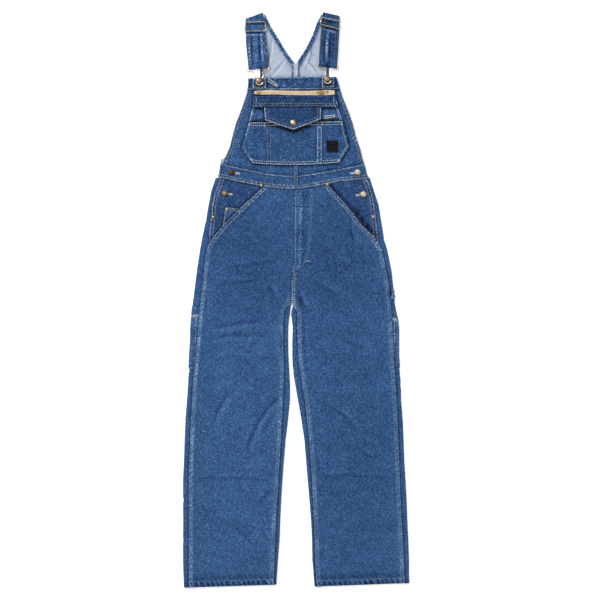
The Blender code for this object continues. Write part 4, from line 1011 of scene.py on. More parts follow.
def shape_of(
    name: str, points: Array, faces: Any, material: bpy.types.Material,
    wear_and_shade: Array | None = None, uv: Array | None = None,
) -> Piece:
    """Makes an object of millimetre points, shaded smooth, with its normals out.

    Args:
        name: The object's name.
        points: Points in millimetres.
        faces: Lists of point numbers.
        material: The object's material.
        wear_and_shade: A value a point, of rubbed wear and painted shade.
        uv: Two values a point.

    Returns:
        The object, in the scene.
    """
    mesh = bpy.data.meshes.new(name)
    sides = faces.tolist() if isinstance(faces, Array) else faces
    mesh.from_pydata((points * MM).tolist(), [], sides)
    work = bmesh.new()
    work.from_mesh(mesh)
    bmesh.ops.recalc_face_normals(work, faces=work.faces)
    work.to_mesh(mesh)
    work.free()
    mesh.shade_smooth()
    made = bpy.data.objects.new(name, mesh)
    if wear_and_shade is not None:
        set_values(made, "wear_and_shade", wear_and_shade)
    if uv is not None:
        corners = np.empty(len(mesh.loops), np.int32)
        mesh.loops.foreach_get("vertex_index", corners)
        mesh.uv_layers.new(name="cloth").data.foreach_set("uv", uv[corners].astype(np.float32).ravel())
    mesh.materials.append(material)
    bpy.context.scene.collection.objects.link(made)
    return made


@dataclass
class Panel(Cloth):
    """A piece that lies open: a grid fitted to its outline, with its heights read off the solid."""

    corners: tuple[Point, ...] = ()  # its four corners, where straight lines between them will do
    outline: tuple[Point, ...] = ()  # its outline, anticlockwise, where it differs from the solid's
    turns: tuple[int, ...] = ()  # which points of the outline are its corners, the lower left one first
    worn_and_shaded: tuple[Side, ...] = tuple(Side)  # the sides whose edges are rubbed pale, with a painted shade line inside

    def sides(self) -> list[Array]:
        """Splits the outline at its four corners.

        Returns:
            The bottom, right, top and left lines, in the order of the outline.
        """
        if self.corners:
            ends = np.array(self.corners)
            return [np.stack([ends[k], ends[(k + 1) % 4]]) for k in range(4)]
        line = np.array(self.outline) if self.outline else outline_of(*BENCH.solids[self.node])
        low, span = line.min(0), np.maximum(np.ptp(line, axis=0), 1e-6)
        x, y = ((line - low) / span).T
        corners = list(self.turns) or [int(np.argmax(score)) for score in (-x - y, x - y, x + y, y - x)]
        line = np.roll(line, -corners[0], axis=0)
        places = [(c - corners[0]) % len(line) for c in corners] + [len(line)]
        line = np.concatenate([line, line[:1]])
        return [line[places[k] : places[k + 1] + 1] for k in range(4)]

    def seams(self) -> list[Seam]:
        """Turns the hems into seams along the outline.

        Returns:
            The seams.
        """
        made = []
        sides = self.sides()
        for k, hem in enumerate(self.hems):
            whole = Path(sides[hem.path.value])
            start, end = hem.span[0] * whole.length, hem.span[1] * whole.length
            count = max(2, int((end - start) / 12.0))
            line = [whole.at(s)[0] for s in np.linspace(start, end, count + 1)]
            between = hem.between if len(hem.rows) > 1 else 0.0
            on, seed = (self.node, *hem.on), 11 + 5 * k + len(self.node)
            made.append(replace(hem, path=Path(line), on=on, seed=seed, between=between))
        return made

    def grid(self, lines: Sequence[Path]) -> Array:
        """Fits a grid to the outline, its rows and columns bent as the sides are.

        Args:
            lines: The bottom, right, top and left lines.

        Returns:
            Each point's x and y, by row and column.
        """
        bottom, right, top, left = lines
        u = spaced(max(bottom.length, top.length), self.pitch)
        v = spaced(max(left.length, right.length), self.pitch)
        low, high = bottom.sample(u), top.sample(1 - u)
        start, end = left.sample(1 - v), right.sample(v)
        uu, vv = u[None, :, None], v[:, None, None]
        flat = (1 - vv) * low[None] + vv * high[None] + (1 - uu) * start[:, None] + uu * end[:, None]
        below = (1 - uu) * (1 - vv) * low[0] + uu * (1 - vv) * low[-1]
        return flat - (below + (1 - uu) * vv * high[0] + uu * vv * high[-1])

    def heights(self, flat: Array) -> Pair:
        """Reads the solid's top and underside at every point, at the rim from a little inside.

        Args:
            flat: The grid's x and y.

        Returns:
            The outer and the inner grid of points.
        """
        rows, columns = flat.shape[:2]
        tops, unders = np.zeros((rows, columns)), np.zeros((rows, columns))
        for r in range(rows):
            for c in range(columns):
                inside = flat[min(max(r, 1), rows - 2), min(max(c, 1), columns - 2)]
                x, y = flat[r, c] + 0.35 * (inside - flat[r, c])
                high, low = BENCH.height(self.node, x, y), BENCH.height(self.node, x, y, False)
                if high is None or low is None:
                    high = BENCH.trees[self.node].find_nearest(Vector((x, y, PROBE / 2)))[0].z
                    low = high - CLOTH
                tops[r, c], unders[r, c] = high, low
        wall = soften(tops - unders, 1)
        tops = soften(tops, 2)
        return np.dstack([flat, tops]), np.dstack([flat, tops - wall])

    def build(self, folds: Folds) -> Piece:
        """Builds the piece.

        Args:
            folds: What shapes the cloth.

        Returns:
            The piece.
        """
        lines = [Path(side) for side in self.sides()]
        flat = self.grid(lines)
        grids = self.heights(flat)
        lift, wear_and_shade, fray = self.lifted(folds, *grids)
        rims = [lines[side.value] for side in self.worn_and_shaded]
        off = np.min([np.abs(rim.measure(flat[..., 0], flat[..., 1])[1]) for rim in rims], axis=0)
        # a pale rubbed rim, and a painted shade line 4.6 mm inside it
        wear_and_shade = wear_and_shade + self.edge_wear_and_shade * (1.3 * bell(off, 1.9) - 0.5 * bell(off - 4.6, 1.4))
        fray = np.maximum(fray, min(self.edge_wear_and_shade, 1.0) * bell(off, 3.0))
        return self.sew(grids, lift, wear_and_shade, fray, flat)


@dataclass
class Wrap(Cloth):
    """A piece that folds back on itself: sections cut across the solid, each read as one long line."""

    start: tuple[Point, ...] = ()  # the line where the sections start
    end: tuple[Point, ...] = ()  # the line where they end
    columns: int = 60  # points along a section
    hidden: float = 0.4  # how many of them the underside gets, as a share
    least: float = 0.6  # the shortest section that counts, as a share of the usual one
    top_of: tuple[float, float] = (1.0, 3.6)  # the heights between which the relief fades in

    def section(self, points: Array, faces: Array, gap: Array) -> Array:
        """Cuts the solid where a value changes sign.

        Args:
            points: The solid's points.
            faces: Its triangles.
            gap: A value a point.

        Returns:
            The longest cut line, closed, without its idle points.
        """
        gap = np.where(np.abs(gap) < 1e-6, 1e-6, gap)
        over = gap > 0
        mixed = faces[over[faces].any(1) & ~over[faces].all(1)]
        edges = []
        for a, b, c in mixed.tolist():
            cut = [(min(p, q), max(p, q)) for p, q in ((a, b), (b, c), (c, a)) if over[p] != over[q]]
            edges.append((cut[0], cut[1]))
        best: Array | None = None
        for loop in chain(edges):
            a, b = np.array(loop).T
            share = (gap[a] / (gap[a] - gap[b]))[:, None]
            line = points[a] + share * (points[b] - points[a])
            if best is None or np.ptp(line, axis=0).sum() > np.ptp(best, axis=0).sum():
                best = line
        for _ in range(2):
            ahead, back = np.roll(best, -1, axis=0) - best, best - np.roll(best, 1, axis=0)
            long_a, long_b = np.linalg.norm(ahead, axis=1), np.linalg.norm(back, axis=1)
            cosine = (ahead * back).sum(1) / np.maximum(long_a * long_b, 1e-9)
            best = best[(long_b > 0.01) & (cosine < 0.9998)]
        return best

    def halves(self, line: Array, across: Array) -> Pair:
        """Parts a section's outer line from its inner one at the two cut edges.

        Args:
            line: The closed section.
            across: The direction across the piece.

        Returns:
            The outer and the inner line, both from the same edge.
        """
        flat = np.stack([line @ across, line[:, 2]], -1)
        turn = np.roll(flat, -1, axis=0)
        if (flat[:, 0] * turn[:, 1] - turn[:, 0] * flat[:, 1]).sum() < 0:
            line, flat = line[::-1], flat[::-1]
        ahead, back = np.roll(flat, -1, axis=0) - flat, flat - np.roll(flat, 1, axis=0)
        bend = np.arctan2(back[:, 0] * ahead[:, 1] - back[:, 1] * ahead[:, 0], (ahead * back).sum(1))
        length = np.linalg.norm(ahead, axis=1)
        score = np.minimum(bend, np.roll(bend, -1))
        score = np.where((length > 0.7) & (length < 3.2), score, -9)
        first, second = sorted(np.argsort(score)[-2:].tolist())
        one = line[first + 1 : second + 1]
        two = np.concatenate([line[second + 1 :], line[: first + 1]])
        return (one, two[::-1]) if line_length(one) > line_length(two) else (two, one[::-1])

    def cut(self, across: Array) -> list[tuple[float, Array, Array]]:
        """Cuts every section that parts cleanly; the cloth runs straight over the few that don't.

        Args:
            across: The direction across the piece.

        Returns:
            For each section its distance from the start, its outer line and its inner line.
        """
        points, faces = BENCH.solids[self.node]
        gaps = [Path(line).beside(points[:, 0], points[:, 1]) for line in (self.start, self.end)]
        share = gaps[0] / (gaps[0] - gaps[1])
        reach = abs(float(np.median(gaps[0] - gaps[1])))
        found: list[tuple[float, Array, Array]] = []
        for spot in spaced(reach, self.pitch, (0.3, 1.2, 2.4)):
            for nudge in (0.0, 0.25, -0.25, 0.5, -0.5):
                gap = share - spot - nudge / reach
                if gap.min() > -1e-4 or gap.max() < 1e-4:
                    continue
                one, two = self.halves(self.section(points, faces, gap), across)
                if min(len(one), len(two)) > 3 and abs(line_length(one) - line_length(two)) < 20.0:
                    found.append((spot * reach + nudge, one, two))
                    break
        usual = float(np.median([line_length(one) for _, one, _ in found]))
        return [row for row in found if line_length(row[1]) > self.least * usual]

    def resampled(self, line: Array) -> Pair:
        """Spreads points along a line, closer where it bends and wider where it is hidden.

        Args:
            line: The line's corners.

        Returns:
            The new points, and their length along the line.
        """
        steps = np.diff(line, axis=0)
        length = np.linalg.norm(steps, axis=1)
        ways = steps / np.maximum(length, 1e-9)[:, None]
        bend = np.zeros(len(line))
        bend[1:-1] = np.arccos(np.clip((ways[1:] * ways[:-1]).sum(1), -1, 1))
        counts = [max(2, int(span / 2.0) + 2) for span in length]
        flats = [np.linspace(0, 1, count)[:-1] + k for k, count in enumerate(counts)]
        flats = np.concatenate([*flats, [len(length)]])
        k = np.minimum(flats.astype(int), len(length) - 1)
        dense = line[k] + (flats - k)[:, None] * steps[k]
        run = np.concatenate([[0.0], np.cumsum(np.linalg.norm(np.diff(dense, axis=0), axis=1))])
        middle = 0.5 * (dense[1:] + dense[:-1])
        buried = np.where(middle[:, 2] < 2.0, self.hidden, 1.0)
        curl = np.interp(flats, np.arange(len(line)), bend)
        curl = 0.5 * (curl[1:] + curl[:-1]) * np.diff(flats)
        weight = np.concatenate([[0.0], np.cumsum(np.diff(run) / self.pitch * buried + curl / 0.35)])
        spots = np.linspace(0, weight[-1], self.columns)
        where = np.interp(spots, weight, run)
        return np.stack([np.interp(where, run, dense[:, k]) for k in range(3)], -1), where

    def build(self, folds: Folds) -> Piece:
        """Builds the piece.

        Args:
            folds: What shapes the cloth.

        Returns:
            The piece.
        """
        (ax, ay), (bx, by) = self.start[0], self.start[-1]
        across = np.array([bx - ax, by - ay, 0.0]) / math.hypot(bx - ax, by - ay)
        outer, inner, runs, spots = [], [], [], []
        for spot, one, two in self.cut(across):
            one, run = self.resampled(one)
            two = self.resampled(two)[0]
            if outer and np.linalg.norm(one[0] - outer[-1][0]) > np.linalg.norm(one[-1] - outer[-1][0]):
                one, two, run = one[::-1], two[::-1], run[-1] - run[::-1]
            outer.append(one)
            inner.append(two)
            runs.append(run)
            spots.append(spot)
        grids = np.array(outer), np.array(inner)
        for grid in grids:
            for axis in range(3):
                grid[..., axis] = soften(grid[..., axis], 1)
        lift, wear_and_shade, fray = self.lifted(folds, *grids)
        low, high = self.top_of
        lift = lift * smooth_step((grids[0][..., 2] - low) / (high - low))
        run = np.array(runs)
        off = np.minimum(run, run[:, -1:] - run)
        wear_and_shade = wear_and_shade + self.edge_wear_and_shade * bell(off, 1.3)
        along = np.broadcast_to(np.array(spots)[:, None], run.shape)
        uv = np.stack([run - run[:, -1:] / 2, along], -1)
        return self.sew(grids, lift, wear_and_shade, fray, uv)


# ---- thread

Mesh = tuple[Array, list[list[int]]]


def edit(select: str = "SELECT") -> None:
    """Opens the active object for editing, with all of it selected or none."""
    bpy.ops.object.mode_set(mode="EDIT")
    bpy.ops.mesh.select_all(action=select)


def harvest(made: Piece) -> Mesh:
    """Takes a modelled object apart.

    Args:
        made: The object, which is removed.

    Returns:
        Its points and its faces.
    """
    points = np.array([corner.co for corner in made.data.vertices])
    faces = [list(face.vertices) for face in made.data.polygons]
    bpy.data.objects.remove(made, do_unlink=True)
    return points, faces


def repeated(copies: Sequence[Array], faces: list[list[int]]) -> Mesh:
    """Joins copies of one mesh, given each copy's points and the faces of one."""
    starts = range(0, len(copies) * len(copies[0]), len(copies[0]))
    return np.concatenate(copies), [[start + k for k in face] for start in starts for face in faces]


@dataclass
class Sewing:
    """Thread: one stitch is modelled, and each row is a run of its copies seated on the cloth."""

    length: float = 3.1
    gap: float = 1.8
    radius: float = 0.50
    stitch: Mesh | None = None
    runs: dict[tuple[str, Thread], list[Array]] = field(default_factory=dict)
    shade_spots: dict[str, list[Array]] = field(default_factory=dict)
    placed: int = 0

    def model(self) -> Mesh:
        """Models the stitch: a four-sided rod whose ends are drawn in.

        Returns:
            Its points, along x and a millimetre long and wide, and its faces.
        """
        if self.stitch is None:
            bpy.ops.object.select_all(action="DESELECT")
            bpy.ops.mesh.primitive_cylinder_add(
                vertices=4, radius=1.0, depth=0.62, rotation=(0, math.pi / 2, 0)
            )
            rod = bpy.context.object
            bpy.ops.object.transform_apply(location=True, rotation=True, scale=True)
            for end in (1, -1):
                edit("DESELECT")
                bpy.ops.object.mode_set(mode="OBJECT")
                for face in rod.data.polygons:
                    face.select = face.normal.x * end > 0.9
                bpy.ops.object.mode_set(mode="EDIT")
                bpy.ops.mesh.select_mode(type="FACE")
                bpy.ops.mesh.extrude_region_move(TRANSFORM_OT_translate={"value": (0.19 * end, 0, -0.35)})
                bpy.ops.transform.resize(value=(1, 0.45, 0.45))
                bpy.ops.object.mode_set(mode="OBJECT")
            self.stitch = harvest(rod)
        return self.stitch

    def place(
        self, allowed: tuple[str, ...], thread: Thread, middle: Point, way: Point,
        length: float, thick: float = 1.0,
    ) -> None:
        """Seats one stitch, unless another piece covers its place.

        Args:
            allowed: The pieces it may lie on, its own first.
            thread: Its thread.
            middle: Where.
            way: Which way it runs.
            length: How long.
            thick: Its thickness, as a share of the thread's.
        """
        half = 0.42 * length
        ends = [(middle[0] + s * half * way[0], middle[1] + s * half * way[1]) for s in (-1, 1)]
        (low, one), (high, two) = (BENCH.seat(x, y) for x, y in ends)
        if not (one in allowed and two in allowed) or abs(high - low) > 1.5:
            return
        axis = Vector((ends[1][0] - ends[0][0], ends[1][1] - ends[0][1], high - low)).normalized()
        side = Vector((0, 0, 1)).cross(axis).normalized()
        up = axis.cross(side)
        points, _ = self.model()
        radius = self.radius * thick
        frame_of = np.array([axis * length, side * radius, up * radius * 0.8])
        centre = np.array([middle[0], middle[1], 0.5 * (low + high) + 0.25 * radius])
        self.runs.setdefault((allowed[0], thread), []).append(points @ frame_of + centre)
        self.placed += 1

    def shade_spot(
        self, allowed: tuple[str, ...], middle: Point, size: float = 1.15, long: float = 1.0,
        way: Point = (1.0, 0.0),
    ) -> None:
        """Paints a shade spot: a dark, low five-sided cone for the shade at a needle hole between two
        stitches, in a buttonhole's slit or on the zip tape.

        Args:
            allowed: The pieces it may lie on, its own first.
            middle: Where.
            size: Its radius.
            long: Its length over its width.
            way: The direction of its length.
        """
        height, owner = BENCH.seat(*middle)
        if owner not in allowed:
            return
        turns = np.arange(5) * 0.4 * math.pi
        (wx, wy), along, across = way, size * long * np.cos(turns), size * np.sin(turns)
        ring = np.stack([wx * along - wy * across, wy * along + wx * across, 0 * turns - 0.06], -1)
        points = np.concatenate([ring, [[0.0, 0.0, 0.16]]]) + np.array([middle[0], middle[1], height])
        self.shade_spots.setdefault(allowed[0], []).append(points)

    def row(self, seam: Seam, inset: float) -> None:
        """Sews one row of a seam.

        Args:
            seam: The seam.
            inset: How far to the line's left.
        """
        dice = np.random.default_rng(seam.seed + int(100 * abs(inset)))
        pitch = self.length + self.gap
        count = max(1, int(seam.path.length / pitch))
        for k in range(count):
            middle, way = seam.path.at((k + 0.5) * seam.path.length / count, inset)
            turn = dice.normal(0, 0.05)
            way = (way[0] - turn * way[1], way[1] + turn * way[0])
            self.place(seam.on, seam.thread, middle, way, self.length * dice.uniform(0.88, 1.08))
            spot, way = seam.path.at((k + 1) * seam.path.length / count, inset)
            # painted shade at the needle hole after the stitch
            self.shade_spot(seam.on, spot, seam.shade_spot, 1.25, (-way[1], way[0]))

    def tack(
        self, node: str, thread: Thread, start: Point, end: Point, width: float = 2.4
    ) -> None:
        """Sews a bar tack or one lip of a buttonhole: short stitches side by side.

        Args:
            node: The piece it belongs to.
            thread: Its thread.
            start: One end.
            end: The other.
            width: The stitches' length.
        """
        path = Path([start, end])
        count = max(2, int(path.length / 0.85))
        for k in range(count + 1):
            middle, (wx, wy) = path.at(k * path.length / count)
            self.place((node,), thread, middle, (-wy, wx), width, 0.95)

    def buttonhole(
        self, node: str, thread: Thread, start: Point, end: Point, lip: float = 1.5
    ) -> None:
        """Sews both lips of a buttonhole, its eye and its tail.

        Args:
            node: The piece it belongs to.
            thread: Its thread.
            start: The eye's end.
            end: The tail's end.
            lip: How far each lip stands off the slit.
        """
        path = Path([start, end])
        wx, wy = path.ways[0]
        for side in (-1, 1):
            dx, dy = -wy * lip * side, wx * lip * side
            head, tail = (start[0] + dx, start[1] + dy), (end[0] + 0.6 * dx, end[1] + 0.6 * dy)
            self.tack(node, thread, head, tail, 1.7)
        slit = 0.42 * path.length
        # the slit's painted shade
        self.shade_spot((node,), path.at(0.5 * path.length)[0], 0.55 * lip, slit / (0.55 * lip), (wx, wy))
        for k in range(9):
            turn = math.pi * (0.5 + k / 8)
            cx, cy = math.cos(turn), math.sin(turn)
            way = (wx * cx - wy * cy, wy * cx + wx * cy)
            middle = (start[0] + way[0] * 1.1 * lip, start[1] + way[1] * 1.1 * lip)
            self.place((node,), thread, middle, way, 1.7, 0.95)
        self.tack(
            node, thread, (end[0] - 0.8 * wy * lip, end[1] + 0.8 * wx * lip),
            (end[0] + 0.8 * wy * lip, end[1] - 0.8 * wx * lip), 1.7,
        )

    def finish(self) -> None:
        """Joins each piece's stitches into one object, and its painted shade spots into another."""
        _, faces = self.model()
        for (node, thread), stitches in self.runs.items():
            name = piece_name(node, f"{thread.name.lower()}-thread")
            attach(shape_of(name, *repeated(stitches, faces), thread.value.material()), GARMENT)
        cone = [[k, (k + 1) % 5, 5] for k in range(5)] + [[4, 3, 2, 1, 0]]
        for node, shade_spots in self.shade_spots.items():
            name = piece_name(node, "painted-shade-spots")
            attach(shape_of(name, *repeated(shade_spots, cone), Thread.PAINTED_SHADE.value.material()), GARMENT)
        log.info("thread: %d stitches in %d runs", self.placed, len(self.runs))


# ---- metal


def settle(node: str, metal: Metal) -> None:
    """Keeps a CAD node whose shape is right, with a finish of its own.

    Args:
        node: The node.
        metal: What it is made of.
    """
    piece = frame["nodes"][node]
    piece.data.materials.clear()
    piece.data.materials.append(metal.material())
    log.info("%s: CAD shape kept", node)


@dataclass
class Zip:
    """The chest zip's coil and its metal end: one tooth and one stop are modelled, on the tape."""

    start: Point = (-98.2, 537.7)
    end: Point = (72.2, 538.7)
    pitch: float = 1.7
    tooth: tuple[float, float, float] = (1.05, 3.0, 0.7)
    stop: tuple[float, float, float] = (8.6, 7.2, 1.3)

    def block(self, size: tuple[float, float, float], bevel: float) -> Mesh:
        """Models a block with softened edges.

        Args:
            size: Its length, width and height.
            bevel: How far its edges are cut back.

        Returns:
            Its points, with the origin under its middle, and its faces.
        """
        bpy.ops.object.select_all(action="DESELECT")
        bpy.ops.mesh.primitive_cube_add(size=1.0, location=(0, 0, 0))
        edit()
        bpy.ops.transform.resize(value=size)
        bpy.ops.mesh.bevel(offset=bevel, segments=1)
        bpy.ops.object.mode_set(mode="OBJECT")
        points, faces = harvest(bpy.context.object)
        return points + np.array([0, 0, 0.5 * size[2]]), faces

    def build(self) -> None:
        """Builds the coil and the end stop."""
        path = Path([self.start, self.end])
        (wx, wy) = path.ways[0]
        turn = np.array([[wx, wy, 0.0], [-wy, wx, 0.0], [0.0, 0.0, 1.0]])
        points, faces = self.block(self.tooth, 0.22)
        coil: list[Array] = []
        for k in range(int(path.length / self.pitch)):
            x, y = path.at((k + 0.5) * self.pitch, 0.25 * (-1) ** k)[0]
            height, owner = BENCH.seat(x, y)
            if owner == "zip_tape":
                coil.append(points @ turn + np.array([x, y, height - 0.12]))
        made = shape_of("zip-coil", *repeated(coil, faces), Thread.COIL.value.material())
        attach(made, GARMENT)
        points, faces = self.block(self.stop, 0.45)
        height = BENCH.seat(*self.start)[0]
        points = points @ turn + np.array([*self.start, height - 0.1])
        made = shape_of("zip-end-stop", points, faces, BRIGHT.material())
        made.data.shade_flat()
        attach(made, GARMENT)
        log.info("zip: %d teeth", len(coil))


def finish_metal(piece: Piece, metal: Metal, place: tuple[float, float, float]) -> None:
    """Smooths a metal piece that is open for editing, and sets it in its place on the garment.

    Args:
        piece: The piece, modelled about the origin.
        metal: What it is made of.
        place: Where it goes, in metres.
    """
    bpy.ops.mesh.select_all(action="SELECT")
    bpy.ops.mesh.normals_make_consistent(inside=False)
    bpy.ops.object.mode_set(mode="OBJECT")
    bpy.ops.object.shade_smooth_by_angle(angle=math.radians(50))
    bpy.ops.transform.translate(value=place)
    bpy.ops.object.transform_apply(location=True, rotation=True, scale=True)
    piece.data.materials.append(metal.material())
    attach(piece, GARMENT)
    log.info("%s: %d faces", piece.name, len(piece.data.polygons))


@dataclass(frozen=True)
class Stud:
    """A pressed metal stud: a disc drawn up in steps by edit-mode insets."""

    node: str
    metal: Metal
    slot: Slot
    radius: float
    steps: tuple[Point, ...]  # pairs of inset and rise, from the rim to the middle
    groove: float = 0.80  # where its dark groove runs, as a share of the radius
    wall: float = 0.4

    def build(self) -> Piece:
        """Builds the stud where its node is.

        Returns:
            The piece.
        """
        low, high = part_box(self.node)
        middle = (low + high) / 2
        bpy.ops.object.select_all(action="DESELECT")
        bpy.ops.mesh.primitive_circle_add(vertices=40, radius=self.radius * MM, fill_type="NGON")
        piece = bpy.context.object
        piece.name = piece_name(self.node, "stud")
        edit()
        bpy.ops.mesh.extrude_region_move(TRANSFORM_OT_translate={"value": (0, 0, self.wall * MM)})
        left = self.radius
        for inset, rise in self.steps:
            share = (left - inset) / left
            bpy.ops.mesh.extrude_region_move(TRANSFORM_OT_translate={"value": (0, 0, rise * MM)})
            bpy.ops.transform.resize(value=(share, share, 1))
            left -= inset
        tall = (self.wall + sum(rise for _, rise in self.steps)) * MM
        finish_metal(piece, self.metal, (middle.x, middle.y, high.z - tall))
        self.tarnish_and_shade(piece, middle)
        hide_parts(self.node)
        return piece

    def tarnish_and_shade(self, piece: Piece, middle: Vector) -> None:
        """Darkens the groove with a film, and paints shade on the rim and on the side away from the light.

        Args:
            piece: The stud.
            middle: Its middle.
        """
        x, y = np.array([corner.co - middle for corner in piece.data.vertices])[:, :2].T / (self.radius * MM)
        share = np.hypot(x, y)
        # a film in the groove; painted shade on the rim and towards the lower right, away from the lamp
        worn_and_shaded = 0.12 - 0.5 * bell(share - self.groove, 0.09) - 0.15 * (x - y) - 0.35 * (share > 0.97)
        set_values(piece, "wear_and_shade", worn_and_shaded)


@dataclass(frozen=True)
class Crescent:
    """The bow of a hook where it bears under its button, in brass brighter than the hook's wire for a painted
    highlight: half a flattened torus.
    """

    side: str
    radius: float = 8.9
    wire: float = 1.15
    drop: float = 1.2
    sink: float = 1.7

    def build(self) -> None:
        """Builds the bow under its button."""
        low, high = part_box(f"bib_button_{self.side}")
        middle = (low + high) / 2
        bpy.ops.object.select_all(action="DESELECT")
        bpy.ops.mesh.primitive_torus_add(
            major_radius=self.radius * MM, minor_radius=self.wire * MM, major_segments=48, minor_segments=10
        )
        piece = bpy.context.object
        piece.name = f"hook-bow-{self.side}"
        edit()
        bpy.ops.transform.resize(value=(1, 1, 0.6))
        edge = (0, -0.2 * self.radius * MM, 0)
        bpy.ops.mesh.bisect(plane_co=edge, plane_no=(0, 1, 0), use_fill=True, clear_outer=True)
        finish_metal(piece, GLINT, (middle.x, middle.y - self.drop * MM, high.z - self.sink * MM))


# ---- the garment's tables


def crease_table() -> list[Crease]:
    """Lists the given creases: depth, width, ridge, at times a tint, and the line.

    Returns:
        The creases.
    """
    rows = (
        (
            0.9, 4.2, 0.8, 0.6,
            [(-42.2, -252.2), (-73.5, -278.2), (-96.9, -314.6), (-115.0, -353.6), (-130.7, -395.2)],
        ),
        (0.5, 3.8, 0.7, 0.5, [(-52.6, -286.0), (-73.5, -322.4), (-99.5, -361.4)]),
        (0.9, 4.2, 0.7, [(-177.5, -244.4), (-203.5, -286.0), (-221.7, -332.8)]),
        (0.6, 3.0, 0.6, [(-117.7, -218.4), (-130.7, -236.6)]),
        (0.9, 4.2, -0.9, [(-234.7, -75.4), (-156.7, -62.4), (-81.2, -54.6)]),
        (0.8, 4.0, -0.7, [(-237.2, -106.6), (-180.1, -91.0), (-120.2, -91.0), (-65.7, -93.6)]),
        (0.6, 3.4, 0.6, [(-148.8, -26.0), (-91.7, -18.2)]),
        (0.7, 4.5, 0.8, [(-177.5, 83.2), (-117.7, 91.0), (-55.2, 104.0)]),
        (0.6, 3.8, 0.7, [(-211.2, 41.6), (-151.5, 44.2), (-89.0, 54.6)]),
        (1.1, 4.0, 1.0, [(-70.9, 41.6), (-63.1, 20.8), (-52.6, 0.0)]),
        (1.1, 4.0, 0.9, [(2.0, 20.8), (12.3, 0.0), (22.8, -23.4)]),
        (0.9, 4.6, 0.8, [(43.6, 46.8), (77.4, 28.6), (111.2, 10.4)]),
        (0.9, 4.6, 0.8, [(137.2, 208.0), (142.3, 174.2), (152.8, 140.4)]),
        (0.7, 4.0, -0.7, [(-44.9, -57.2), (-39.6, -109.2), (-39.6, -156.0)]),
        (0.8, 4.0, 0.7, [(17.6, -52.0), (20.2, -109.2), (25.4, -161.2)]),
        (0.6, 3.6, 0.7, [(-96.9, -148.2), (-50.1, -153.4)]),
        (0.6, 3.2, 0.9, [(-258.1, -462.8), (-193.1, -462.8), (-117.7, -462.8), (-70.9, -468.0)]),
        (0.6, 3.2, 0.9, [(54.0, -460.2), (139.8, -455.0), (246.3, -462.8)]),
        (0.7, 3.6, -0.6, [(-65.7, -488.8), (-96.9, -527.8)]),
        (0.9, 4.4, 0.8, [(69.5, -270.4), (108.5, -288.6), (137.2, -312.0), (158.0, -348.4)]),
        (0.7, 3.6, 0.7, [(160.6, -387.4), (197.0, -410.8)]),
        (0.6, 3.6, -0.7, [(119.0, -559.0), (85.2, -592.8)]),
        (0.5, 4.0, 0.7, [(-193.1, -135.2), (-138.5, -153.4), (-89.0, -187.2)]),
        (0.5, 4.0, 0.7, [(90.4, -88.4), (145.0, -114.4), (194.3, -127.4)]),
        (0.5, 4.4, -0.7, [(-203.5, -572.0), (-156.7, -592.8), (-120.2, -626.6)]),
        (0.5, 4.4, 0.7, [(145.0, -644.8), (181.3, -626.6), (220.3, -618.8)]),
        (0.4, 4.0, 0.8, [(-146.2, 176.8), (-115.0, 150.8), (-89.0, 114.4)]),
        (0.4, 4.0, 0.8, [(56.6, 140.4), (87.8, 124.8), (113.8, 98.8)]),
        (0.7, 1.7, 1.3, [(7.7, 241.8), (8.7, 187.2), (5.6, 145.6), (8.2, 98.8)]),
        (0.6, 1.5, -1.0, [(15.0, 236.6), (15.5, 182.0), (13.9, 124.8)]),
        (0.5, 1.5, 1.0, [(1.4, 228.8), (2.0, 166.4), (0.9, 109.2)]),
        (1.0, 2.6, 1.2, 1.3, [(-97.9, 694.2), (-95.8, 660.4), (-93.2, 613.6)]),
        (0.8, 2.2, -0.9, 1.3, [(-116.1, 691.6), (-116.6, 650.0), (-113.0, 608.4)]),
        (1.0, 2.4, -1.1, 1.3, [(89.3, 699.4), (86.2, 660.4), (85.2, 616.2)]),
        (0.8, 2.2, 0.9, 1.3, [(75.3, 702.0), (72.7, 655.2), (72.2, 618.8)]),
        # painted shadow just under the slides' bars, with a paler crest beside it
        (0.9, 1.9, 0.5, 1.9, [(-134.3, 716.6), (-107.2, 717.1), (-81.2, 717.6)]),
        (0.9, 1.9, -0.5, 1.9, [(-134.8, 693.2), (-107.2, 693.7), (-81.2, 693.7)]),
        (0.9, 1.9, 0.5, 1.9, [(65.7, 728.0), (91.9, 722.8), (113.8, 718.6)]),
        (0.9, 1.9, -0.5, 1.9, [(63.8, 710.8), (88.3, 704.1), (112.7, 697.8)]),
        (0.8, 2.2, 0.8, 1.1, [(-63.1, 686.4), (-68.2, 644.8), (-78.7, 592.8)]),
        (0.7, 2.2, 0.8, 1.1, [(-31.9, 624.0), (-47.5, 603.2), (-68.2, 579.8)]),
        (0.6, 2.2, -0.8, 1.1, [(41.0, 681.2), (38.4, 634.4), (20.2, 592.8)]),
        (0.6, 2.2, -0.8, 1.1, [(25.4, 624.0), (41.0, 608.4), (56.6, 587.6)]),
    )
    return [Crease(Path(line), *rest) for *rest, line in rows]


